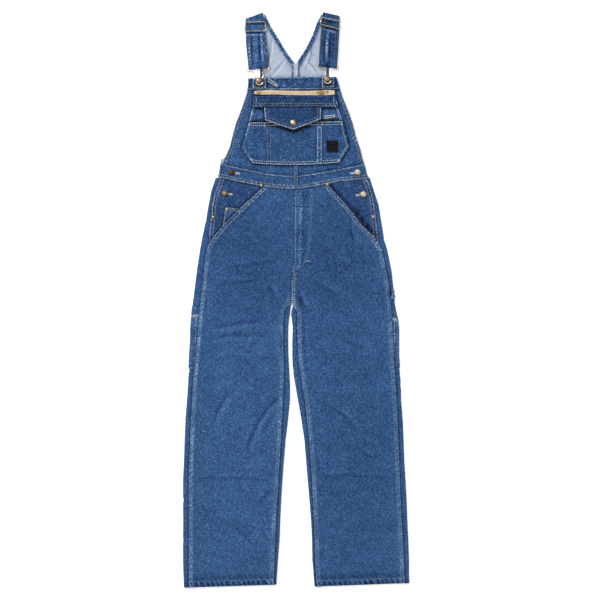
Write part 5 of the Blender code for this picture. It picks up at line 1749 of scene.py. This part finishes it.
def patch_table() -> list[Patch]:
    """Lists the broad lighter and darker areas: the wash's, and painted shade and highlight.

    Returns:
        The patches.
    """
    rows = (
        ((-120.2, 124.8), (95.0, 170.0), -0.26),
        ((100.8, 124.8), (100.0, 170.0), -0.26),
        ((152.8, -403.0), (120.0, 330.0), -0.16),
        ((-169.7, -744.9), (150.0, 14.0), -0.62),
        ((168.3, -742.3), (150.0, 14.0), -0.62),
        # painted shadow at both sides of the hammer loop
        ((242.7, 16.1), (3.6, 12.0), -1.6),
        ((259.4, 18.2), (2.0, 12.0), -1.2),
        # painted shadow under the bib buttons
        ((-95.3, 555.4), (9.0, 4.0), -1.5),
        ((81.8, 558.0), (9.0, 4.0), -1.5),
        # painted shade in the fly's folds, at its top and down its right
        ((17.6, 270.4), (17.0, 20.0), -0.30),
        ((21.7, 161.2), (3.6, 28.0), -0.30),
        ((-90.4, 590.2), (5.0, 14.0), -1.6),
        ((82.5, 595.4), (4.0, 14.0), -1.6),
        ((7.2, 473.2), (90.0, 20.0), -0.10),
        # painted shade round the crotch
        ((8.5, -13.0), (9.0, 22.0), -0.45),
        ((-104.7, 655.2), (9.0, 45.0), 0.18),
        # painted highlight on the fly's folds, and painted shade between them
        ((10.8, 226.2), (4.5, 22.0), 0.60),
        ((7.2, 127.4), (4.5, 26.0), 0.50),
        ((5.6, 176.8), (4.0, 13.0), -0.25),
        # painted shadow in the mouth of the slash pocket on the +x side
        ((159.2, 227.2), (4.5, 7.0), -1.0),
        ((172.5, 210.1), (4.5, 7.0), -1.2),
        ((185.5, 193.4), (4.5, 7.0), -1.2),
        ((196.4, 178.9), (3.5, 6.0), -1.0),
    )
    return [Patch(*row) for row in rows]


def back_cloth() -> list[Cloth]:
    """Lists the back: its legs, the inner face of its bib, and the hems of its V.

    Returns:
        The pieces, undermost first.
    """
    leg = dict(flat=(500.0, 1062.0), pitch=4.0, columns=84, edge_wear_and_shade=0.3, shadow=0.2)
    inner = dict(finish=PALE, place=Slot.INSIDE, edge_wear_and_shade=0.1)
    bib = dict(flat=(205.0, 400.0), pitch=4.0, rumple=0.25, shadow=0.3, **inner)
    ridge = dict(rows=(1.2,), thread=Thread.GREY, glow=-0.5, shade=1.2)
    v_hem = dict(flat=(15.0, 150.0), pitch=2.2, rub=1.1, turns=(0, 1, 8, 9))
    v_row = dict(rows=(2.4,), thread=Thread.GREY, glow=0.1, fray=0.5)
    return [
        Wrap(
            "back_leg_right", **leg,
            start=((-291.9, -747.8), (-51.4, -740.0)), end=((-242.5, 318.5), (9.8, 318.5)),
        ),
        Wrap(
            "back_leg_left", **leg,
            start=((47.5, -745.2), (294.4, -736.1)), end=((-16.2, 318.2), (191.8, 318.2)),
        ),
        Panel("back_bib_right", **bib),
        Panel("back_bib_left", **bib),
        Panel(
            "back_centre_seam", (14.0, 230.0), pitch=2.5, flush=True, shadow=0.2, **inner,
            hems=(
                Hem(LEFT, on=("back_bib_right",), **ridge),
                Hem(RIGHT, on=("back_bib_left",), **ridge),
            ),
        ),
        Panel(
            "v_hem_right", tone=-0.15, hems=(Hem(LEFT, **v_row),), **v_hem,
            outline=(
                (-13.7, 607.9), (-0.9, 614.1), (-9.0, 622.4), (-16.2, 631.8), (-31.9, 655.2),
                (-50.1, 686.4), (-63.1, 707.2), (-69.3, 718.6), (-82.0, 744.6), (-87.5, 722.3),
                (-77.4, 710.6), (-72.7, 700.4), (-59.7, 679.9), (-41.5, 648.7), (-26.1, 625.3),
            ),
        ),
        Panel(
            "v_hem_left", tone=-0.35, hems=(Hem(RIGHT, **v_row),), **v_hem,
            outline=(
                (0.9, 614.1), (13.4, 607.9), (16.5, 617.8), (22.2, 627.4), (35.2, 648.4), (50.8, 680.2),
                (58.4, 700.4), (60.7, 709.8), (71.1, 720.7), (66.2, 744.1), (52.4, 718.1), (48.8, 707.2),
                (41.0, 686.4), (25.4, 655.2), (12.3, 634.4), (6.9, 625.6),
            ),
        ),
    ]


def front_cloth() -> list[Cloth]:
    """Lists the fronts of the legs, what lies under their pockets, and the seam and fly between them.

    Returns:
        The pieces, undermost first.
    """
    facing = dict(flat=(136.0, 178.0), finish=DEEP, rub=0.4)
    leg = dict(flat=(285.0, 1050.0), pitch=3.7, rumple=0.22, edge_wear_and_shade=0.25)
    strip = dict(rows=(1.9, 9.6), thread=Thread.SAND, pucker=0.35, wave=12.5, reach=5.0)
    strip |= dict(shade=0.5, streak=0.06, fray=0.14)
    inseam = dict(glow=0.35, between=-0.10, **strip)
    middle = dict(pitch=2.0, flush=True, shadow=0.2)
    turned = Hem(
        BOTTOM, (14.5,), Thread.SAND, pucker=0.5, wave=13.5, reach=8.0, glow=0.15, valley=0.32,
        roping=0.58, fray=0.4,
    )
    return [
        Panel("pocket_facing_right", hems=(Hem(LEFT, (1.8, 8.8)),), **facing),
        Panel("pocket_facing_left", hems=(Hem(RIGHT, (1.8, 8.8)),), **facing),
        Panel(
            "front_leg_right", **leg,
            hems=(
                Hem(RIGHT, on=("back_leg_right",), span=(0.0, 0.72), **inseam),
                Hem(LEFT, on=("back_leg_right",), glow=0.32, between=-0.28, **strip),
                turned,
            ),
        ),
        Panel(
            "front_leg_left", **leg,
            hems=(
                Hem(LEFT, on=("back_leg_left",), span=(0.28, 1.0), **inseam),
                Hem(RIGHT, on=("back_leg_left",), glow=0.34, between=-0.15, **strip),
                turned,
            ),
        ),
        Panel(
            "front_centre_seam", (12.0, 120.0), edge_wear_and_shade=0.1, **middle,
            hems=tuple(Hem(side, (1.6,), Thread.SAND, glow=0.2, fray=0.3) for side in UPRIGHT),
        ),
        Panel(
            "fly_placket", (27.0, 214.0), rumple=0.2, edge_wear_and_shade=0.05, rub=0.6, **middle,
            hems=(Hem(LEFT, (1.2,), Thread.SAND, glow=0.9, fray=0.3),),
        ),
    ]


def bib_cloth() -> list[Cloth]:
    """Lists the front bib, the waistband and what is sewn on them, but for the pocket's flap.

    Returns:
        The pieces, undermost first.
    """
    bib = dict(flat=(190.0, 268.0), pitch=3.2, rumple=0.2, shadow=0.5)
    waist = dict(
        flat=(197.0, 40.0), pitch=2.6, rub=0.3, tone=-0.12,
        hems=(
            Hem(TOP, (1.8,), Thread.SAND, glow=0.2),
            Hem(BOTTOM, (1.8, 7.5), glow=0.45, streak=0.35),
        ),
    )
    patch = dict(flat=(34.0, 30.0), pitch=2.2)
    lower_hem = Hem(BOTTOM, (1.6,))
    over = ("bib_pocket_front",)
    ripple = dict(wave=9.0, reach=12.0)
    return [
        Panel("bib_right", rub=0.4, tone=-0.10, hems=(Hem(LEFT, (1.8, 6.6)),), **bib),
        Panel("bib_left", rub=0.35, tone=-0.14, hems=(Hem(RIGHT, (1.8, 6.6)),), **bib),
        Panel("waistband_right", **waist),
        Panel("waistband_left", **waist),
        Panel(
            "zip_tape", (212.0, 15.2), TAPE, Slot.TAPE, pitch=2.6, rumple=0.05, turns=(0, 8, 9, 19),
            outline=(
                (-108.8, 535.1), (-99.5, 534.0), (-83.9, 533.5), (-55.2, 534.0), (-21.4, 532.5), (9.8, 532.0),
                (51.4, 532.0), (82.5, 532.2), (100.2, 533.3), (99.7, 544.2), (82.5, 545.5), (61.8, 544.7),
                (41.0, 543.4), (9.8, 543.1), (-16.2, 543.4), (-42.2, 544.2), (-63.1, 545.5), (-83.9, 544.4),
                (-99.5, 543.4), (-109.3, 542.1),
            ),
        ),
        Panel(
            "label", (32.0, 32.0), LABEL, Slot.LABEL, pitch=2.2, rumple=0.1, flush=True,
            hems=tuple(Hem(side, (1.2,), Thread.BLACK, pucker=0.05, glow=0.0) for side in Side),
        ),
        Panel(
            "coin_pocket", (42.0, 40.0), pitch=2.2, edge_wear_and_shade=0.4,
            corners=((-191.5, 188.2), (-168.6, 211.6), (-147.8, 237.1), (-183.4, 240.8)),
            hems=(Hem(TOP, (1.6, 6.2)), Hem(LEFT, (1.6,))),
        ),
        Panel(
            "bib_top_band", (242.0, 33.5), pitch=2.4, edge_wear_and_shade=0.7, tone=-0.34, rub=0.7,
            hems=(Hem(BOTTOM, (2.6,), glow=0.4, wave=8.0, reach=16.0, streak=0.30, pucker=0.3),),
        ),
        Panel(
            "bib_pocket_back", (278.0, 184.0), pitch=2.8, rumple=0.2, edge_wear_and_shade=1.1, shadow=1.7, rub=0.28,
            hems=(
                Hem(LEFT, (4.6,), Thread.SAND, glow=0.3, fray=0.5, on=over),
                Hem(RIGHT, (4.6,), Thread.CREAM, glow=0.45, fray=0.5, on=over),
                Hem(BOTTOM, (2.0, 7.2), Thread.CREAM, glow=0.5, fray=0.7, streak=0.6, on=over, **ripple),
            ),
        ),
        Panel(
            "bib_pocket_front", (278.0, 113.0), pitch=2.6, rumple=0.2, shadow=3.2, rub=0.44, tone=-0.24,
            hems=(Hem(TOP, (1.8, 8.0), Thread.CREAM, streak=0.4, **ripple),),
        ),
        Panel(
            "zip_band", (221.0, 30.0), DEEP, pitch=2.2, edge_wear_and_shade=0.4, tone=-0.42, rub=0.6,
            hems=(Hem(BOTTOM, (3.4, 9.0), Thread.SAND, glow=0.55, reach=14.0, streak=0.9, wave=8.5),),
        ),
        Panel("button_patch_right", hems=(Hem(RIGHT, (1.6,)), lower_hem), **patch),
        Panel("button_patch_left", hems=(Hem(LEFT, (1.6,)), lower_hem), **patch),
        Panel(
            "pocket_divider", (12.5, 94.0), pitch=2.0, flush=True,
            hems=tuple(Hem(side, (1.6,), Thread.SAND) for side in UPRIGHT),
        ),
    ]


def hung_cloth() -> list[Cloth]:
    """Lists the straps, what is sewn to the leg's sides, and the bib pocket's flap.

    Returns:
        The pieces, undermost first.
    """
    strap = dict(flat=(56.0, 345.0), pitch=2.4, held="folded", columns=170, edge_wear_and_shade=0.2, hidden=0.5)
    strap |= dict(grain=90.0, rub=0.6, top_of=(2.6, 5.2))
    tool = dict(pitch=1.8, edge_wear_and_shade=0.6, rub=0.3, tone=0.1)
    flap_sides = (BOTTOM, *UPRIGHT)
    return [
        Wrap(
            "strap_right", tone=-0.16, **strap,
            start=((-124.4, 599.8), (-127.5, 629.2), (-130.7, 660.4), (-132.7, 696.8), (-133.8, 727.5)),
            end=((-72.4, 606.1), (-71.6, 629.2), (-75.0, 660.4), (-80.0, 696.8), (-85.7, 744.4)),
        ),
        Wrap(
            "strap_left", tone=-0.44, **strap,
            start=((57.9, 610.2), (60.7, 634.4), (61.5, 676.0), (64.1, 709.8), (67.7, 745.7)),
            end=((107.5, 603.2), (109.3, 634.4), (111.9, 670.8), (113.2, 699.4), (113.8, 735.3)),
        ),
        Wrap(
            "tool_pocket_right", (31.0, 180.0), columns=30, least=0.08, **tool,
            start=((-286.7, -178.4), (-250.2, -178.4)), end=((-286.7, 0.5), (-250.2, 0.5)),
        ),
        Wrap(
            "tool_pocket_left", (22.0, 134.0), columns=26, least=0.3, **tool,
            start=((243.8, -175.8), (269.8, -175.8)), end=((243.8, -43.9), (269.8, -43.9)),
        ),
        Wrap(
            "hammer_loop", (18.0, 29.0), pitch=1.2, columns=26, edge_wear_and_shade=0.35, least=0.3, rub=0.2, tone=-0.1,
            start=((243.8, 2.3), (269.8, 2.3)), end=((243.8, 29.4), (269.8, 29.4)),
        ),
        Panel(
            "pocket_flap", (147.0, 57.0), DEEP, pitch=2.2, edge_wear_and_shade=1.3, tone=-0.20, rub=0.3,
            outline=(
                (-80.7, 467.0), (-44.9, 454.5), (-7.2, 442.3), (29.0, 456.0), (64.1, 469.8), (64.4, 499.5),
                (-83.1, 499.5),
            ),
            turns=(0, 4, 5, 6), worn_and_shaded=flap_sides,
            hems=tuple(Hem(side, (3.6, 8.0), Thread.SAND, glow=0.3, fray=0.8) for side in flap_sides),
        ),
    ]


def seam_table() -> list[Seam]:
    """Lists the sewn lines that follow no edge.

    Returns:
        The seams.
    """
    mouth = dict(rows=(1.9, 8.4), glow=0.42, pucker=0.2, shade=0.7, streak=0.25, between=0.4)
    fly = dict(thread=Thread.GREY, on=("front_leg_left", "fly_placket"))
    zip_end = dict(rows=(0.0, 5.2), glow=0.3, pucker=0.1, on=("bib_top_band",))
    strap = dict(rows=(2.4, 8.4), thread=Thread.GREY, glow=0.15, pucker=0.3, wave=9.0, fray=0.6)
    strap |= dict(streak=0.2, shade=0.0, shade_spot=1.9, between=0.25)
    side_row = dict(rows=(0.0,), thread=Thread.SAND, glow=0.6, pucker=0.1)
    tool = dict(thread=Thread.SAND, glow=1.1, pucker=0.1, shade=0.8)
    rows = (
        (
            [(-85.2, 293.8), (-147.3, 237.4), (-188.9, 194.2), (-220.1, 157.6), (-227.6, 147.7)],
            dict(on=("front_leg_right", "pocket_facing_right", "coin_pocket"), spill=2.6, **mouth),
        ),
        (
            [(217.5, 139.1), (202.2, 163.8), (171.0, 193.2), (139.8, 235.0), (82.5, 299.0)],
            dict(on=("front_leg_left", "pocket_facing_left"), spill=4.5, **mouth),
        ),
        (
            [
                (42.8, 286.0), (40.4, 228.8), (37.3, 166.4), (33.1, 119.6), (24.1, 98.8), (9.8, 84.5),
                (-8.5, 76.7),
            ],
            dict(rows=(0.0, -5.0), glow=0.15, pucker=0.15, shade=0.0, fray=0.25, shade_spot=0.9, **fly),
        ),
        ([(2.0, 245.4), (38.4, 244.9)], dict(rows=(0.0,), glow=0.05, fray=0.3, shade=0.6, pucker=0.1, **fly)),
        (
            [(-7.4, 78.0), (-11.6, 39.0), (-12.3, 0.0), (-9.5, -31.2)],
            dict(
                rows=(1.8, 7.4), glow=0.15, between=0.05, pucker=0.5, wave=12.0,
                on=("front_leg_left", "front_leg_right"),
            ),
        ),
        (
            [(-67.7, 448.5), (-67.2, 354.9)],
            dict(
                rows=(0.0, -6.4), thread=Thread.SAND, glow=0.05, pucker=0.15, shade=0.2, streak=0.05,
                fray=0.35, on=("bib_pocket_front",),
            ),
        ),
        ([(-111.9, 575.9), (-115.6, 548.6)], zip_end),
        ([(97.1, 549.9), (94.0, 575.9)], zip_end),
        ([(-132.5, 725.4), (-123.4, 600.6)], dict(on=("strap_right",), **strap)),
        ([(-72.9, 603.2), (-85.9, 741.0)], dict(on=("strap_right",), **strap)),
        ([(67.0, 743.6), (56.3, 607.1)], dict(on=("strap_left",), **strap)),
        ([(107.0, 603.2), (113.2, 733.2)], dict(on=("strap_left",), **strap)),
        ([(-259.6, -46.8), (-261.7, -104.0), (-265.3, -174.2)], dict(on=("tool_pocket_right",), **side_row)),
        ([(254.7, -171.6), (253.4, -52.0)], dict(on=("tool_pocket_left",), **side_row)),
        (
            [(-251.8, -36.9), (-279.9, -38.5)],
            dict(rows=(0.0, 5.0), on=("tool_pocket_right", "back_leg_right"), **tool),
        ),
        (
            [(-285.1, -178.9), (-262.2, -178.4)],
            dict(rows=(-1.6, 1.8), on=("tool_pocket_right", "back_leg_right"), **tool),
        ),
        (
            [(270.8, -47.8), (247.9, -47.3)],
            dict(rows=(0.0, 5.0), on=("tool_pocket_left", "back_leg_left"), **tool),
        ),
        (
            [(257.3, 4.2), (252.1, 27.6)],
            dict(rows=(0.6, 9.4), thread=Thread.SAND, glow=0.8, pucker=0.1, on=("hammer_loop",), between=0.4),
        ),
    )
    return [Seam(Path(line), seed=3 + k, **sewn) for k, (line, sewn) in enumerate(rows)]


def tacks(sewing: Sewing) -> None:
    """Sews the bar tacks and buttonholes, and paints shade spots on the zip tape: round its end stop, round
    its slider and in the open gap past the slider.

    Args:
        sewing: The thread.
    """
    for node, start, end, width in (
        ("front_leg_left", (24.8, 100.9), (35.2, 101.9), 2.6),
        ("front_leg_left", (-4.8, 100.4), (0.9, 91.0), 2.8),
        ("bib_pocket_front", (-81.5, 460.7), (-82.3, 448.8), 2.2),
        ("bib_pocket_front", (-121.3, 458.6), (-122.9, 448.2), 2.2),
        ("bib_pocket_front", (67.5, 463.8), (67.5, 452.9), 2.2),
        ("bib_pocket_front", (117.9, 464.4), (119.5, 453.4), 2.2),
        ("pocket_divider", (55.5, 394.7), (65.9, 394.7), 2.2),
        ("front_leg_right", (-221.1, 164.8), (-230.5, 156.5), 2.4),
        ("front_leg_left", (206.3, 170.0), (216.2, 160.2), 2.4),
        ("bib_top_band", (-110.9, 576.7), (-111.9, 566.8), 2.2),
        ("zip_band", (-103.6, 524.7), (-104.1, 512.2), 2.2),
        ("zip_band", (97.1, 526.2), (98.2, 513.2), 2.2),
        ("hammer_loop", (239.6, 27.6), (250.5, 29.6), 2.6),
        ("hammer_loop", (242.7, 5.7), (253.1, 6.8), 2.6),
        ("tool_pocket_right", (-264.3, -40.0), (-255.5, -39.5), 2.2),
        ("tool_pocket_left", (251.6, -48.4), (260.4, -47.8), 2.2),
    ):
        sewing.tack(node, Thread.SAND, start, end, width)
    for node, start, end, lip in (
        ("bib_top_band", (-69.8, 570.4), (-50.1, 556.9), 3.1),
        ("bib_pocket_back", (76.3, 474.8), (99.7, 479.2), 2.9),
        ("waistband_right", (-159.8, 329.9), (-147.3, 328.4), 1.9),
        ("pocket_facing_right", (-176.9, 275.6), (-166.5, 274.3), 1.7),
        ("waistband_left", (152.8, 330.5), (141.3, 328.6), 1.8),
        ("pocket_facing_left", (167.3, 273.5), (155.9, 271.7), 1.8),
    ):
        sewing.buttonhole(node, Thread.CREAM, start, end, lip)
    # painted shade on the zip tape
    for middle, size, long in (
        ((81.0, 540.5), 3.2, 1.6),
        ((82.3, 536.6), 1.3, 1.0),
        ((-102.6, 540.0), 0.9, 4.0),
        ((-91.9, 539.8), 1.5, 1.6),
        ((66.4, 534.0), 1.1, 7.5),
        ((65.4, 543.7), 0.9, 7.0),
        ((52.9, 538.2), 1.5, 1.0),
    ):
        sewing.shade_spot(("zip_tape",), middle, size, long)


def studs() -> list[Stud]:
    """Lists the buttons, the snap and the rivets.

    Returns:
        The studs.
    """
    dome = ((0.5, 0.5), (0.7, 0.1), (0.5, -0.25), (1.1, 0.55), (1.6, 0.4), (1.8, 0.2), (1.3, 0.05))
    flat = ((0.4, 0.35), (0.6, 0.1), (0.5, -0.2), (0.9, 0.3), (1.6, 0.25), (1.9, 0.1))
    small = ((0.3, 0.25), (0.5, 0.05), (0.6, -0.2), (0.5, 0.15))
    side_metals = {"left": (SILVERED, SILVERED), "right": (COPPER, BRONZE)}
    rows = []
    for side, metals in side_metals.items():
        rows.append(Stud(f"bib_button_{side}", BRONZE, Slot.BRONZE, 8.4, dome, 0.74))
        for level, metal in zip(("upper", "lower"), metals):
            rows.append(Stud(f"side_button_{side}_{level}", metal, Slot.BRONZE, 7.8, flat))
        for spot in ("front", "side"):
            rows.append(Stud(f"rivet_{side}_{spot}", BRASS, Slot.BRASS, 4.0, small))
    rows.append(Stud("rivet_coin_pocket", BRASS, Slot.BRASS, 4.0, small))
    rows.append(Stud("flap_button", SNAP, Slot.BRASS, 7.1, dome))
    return rows


# ---- the garment


@dataclass
class Garment:
    """The whole dungarees: cloth first, then thread on it, then metal."""

    folds: Folds = field(default_factory=Folds)
    sewing: Sewing = field(default_factory=Sewing)

    def lay_out(self, pieces: Sequence[Cloth]) -> None:
        """Marks every crease, seam and rim, before any cloth is shaped.

        Args:
            pieces: The cloth pieces.
        """
        self.folds.creases = crease_table()
        self.folds.patches = patch_table()
        self.folds.seams = seam_table()
        for piece in pieces:
            if isinstance(piece, Panel):
                self.folds.seams += piece.seams()
                rim = np.concatenate([side[:-1] for side in piece.sides()])
                tall = float(np.percentile(BENCH.solids[piece.node][0][:, 2], 75))
                self.folds.rims.append((piece.node, Path([*rim, rim[0]]), tall, piece.flush))

    def build(self) -> None:
        """Builds and dresses every piece."""
        pieces = back_cloth() + front_cloth() + bib_cloth() + hung_cloth()
        self.lay_out(pieces)
        for piece in pieces:
            piece.build(self.folds)
        for seam in self.folds.seams:
            for inset in seam.rows:
                self.sewing.row(seam, inset)
        tacks(self.sewing)
        self.sewing.finish()
        Zip().build()
        for stud in studs():
            stud.build()
        for side in ("left", "right"):
            Crescent(side).build()
            settle(f"hook_{side}", WIRE)
            settle(f"slide_{side}", WIRE)
        settle("zip_slider", BRIGHT)
        settle("zip_pull", BRIGHT)


@dataclass(frozen=True)
class Studio:
    """A pale floor, a pale sky, one soft lamp up and to the left, and a camera straight above.

    Lengths are metres here. Each lamp has a name, a place, a size and a power.
    """

    height: float = 6.0
    width: float = 1.56
    centre: tuple[float, float] = (0.00975, 0.0)
    sensor: float = 36.0
    bright_side: tuple[float, float, float] = (-0.42, 0.50, 0.76)
    sky: tuple[float, float] = (0.12, 1.22)
    ground: float = 0.0006
    lamps: tuple[tuple[str, tuple[float, float, float], float, float], ...] = (
        ("key_lamp", (-2.6, 2.8, 3.0), 1.6, 150.0),
        ("fill_lamp", (2.8, -1.5, 3.6), 3.0, 40.0),
    )

    def lay_floor(self) -> Piece:
        """Lays the white floor.

        Returns:
            The floor.
        """
        bpy.ops.object.select_all(action="DESELECT")
        bpy.ops.mesh.primitive_plane_add(size=9.0, location=(0, 0, -self.ground))
        floor = bpy.context.object
        floor.name = "floor"
        paper = bpy.data.materials.new("white_paper")
        paper.use_nodes = True
        white = {"Base Color": linear("fbfbfb"), "Roughness": 0.9}
        white |= {"Emission Color": linear("ffffff"), "Emission Strength": 0.22}
        feed(paper.node_tree, paper.node_tree.nodes["Principled BSDF"], white)
        floor.data.materials.append(paper)
        return floor

    def hang_lamps(self) -> list[Piece]:
        """Hangs the lamps, turned to the garment.

        Returns:
            The lamps.
        """
        hung = []
        for name, place, size, power in self.lamps:
            bpy.ops.object.light_add(type="AREA", location=place)
            lamp = bpy.context.object
            lamp.name, lamp.data.size, lamp.data.energy = name, size, power
            lamp.rotation_euler = (-Vector(place)).to_track_quat("-Z", "Y").to_euler()
            hung.append(lamp)
        return hung

    def light_sky(self, world: bpy.types.World) -> None:
        """Makes the sky brighter on one side.

        Args:
            world: The scene's world.
        """
        world.use_nodes = True
        tree = world.node_tree
        way = add_node(tree, "ShaderNodeTexCoord").outputs["Generated"]
        dot = add_node(tree, "ShaderNodeVectorMath", {0: way, 1: self.bright_side}, operation="DOT_PRODUCT")
        span = {"Value": dot.outputs["Value"], 1: -0.35, 2: 0.95, 3: self.sky[0], 4: self.sky[1]}
        glow = add_node(tree, "ShaderNodeMapRange", span).outputs[0]
        feed(tree, tree.nodes["Background"], {"Color": linear("f4f6fa"), "Strength": glow})

    def build(self) -> None:
        """Sets up the stage and the camera."""
        floor = self.lay_floor()
        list(self.hang_lamps())
        scene = bpy.context.scene
        scene.world = scene.world or bpy.data.worlds.new("sky")
        self.light_sky(scene.world)
        scene.view_settings.view_transform = "Standard"
        lens = bpy.data.cameras.new("camera")
        lens.sensor_width = self.sensor
        lens.lens = self.sensor * self.height / self.width
        lens.clip_end = 50.0
        camera = bpy.data.objects.new("camera", lens)
        camera.location = (*self.centre, self.height)
        scene.collection.objects.link(camera)
        scene.camera = camera
        log.info("stage: floor, lamps, sky and camera set")


def main() -> None:
    logging.basicConfig(level=logging.INFO, format="%(message)s")
    Garment().build()
    Studio().build()


if __name__ == "__main__":
    main()
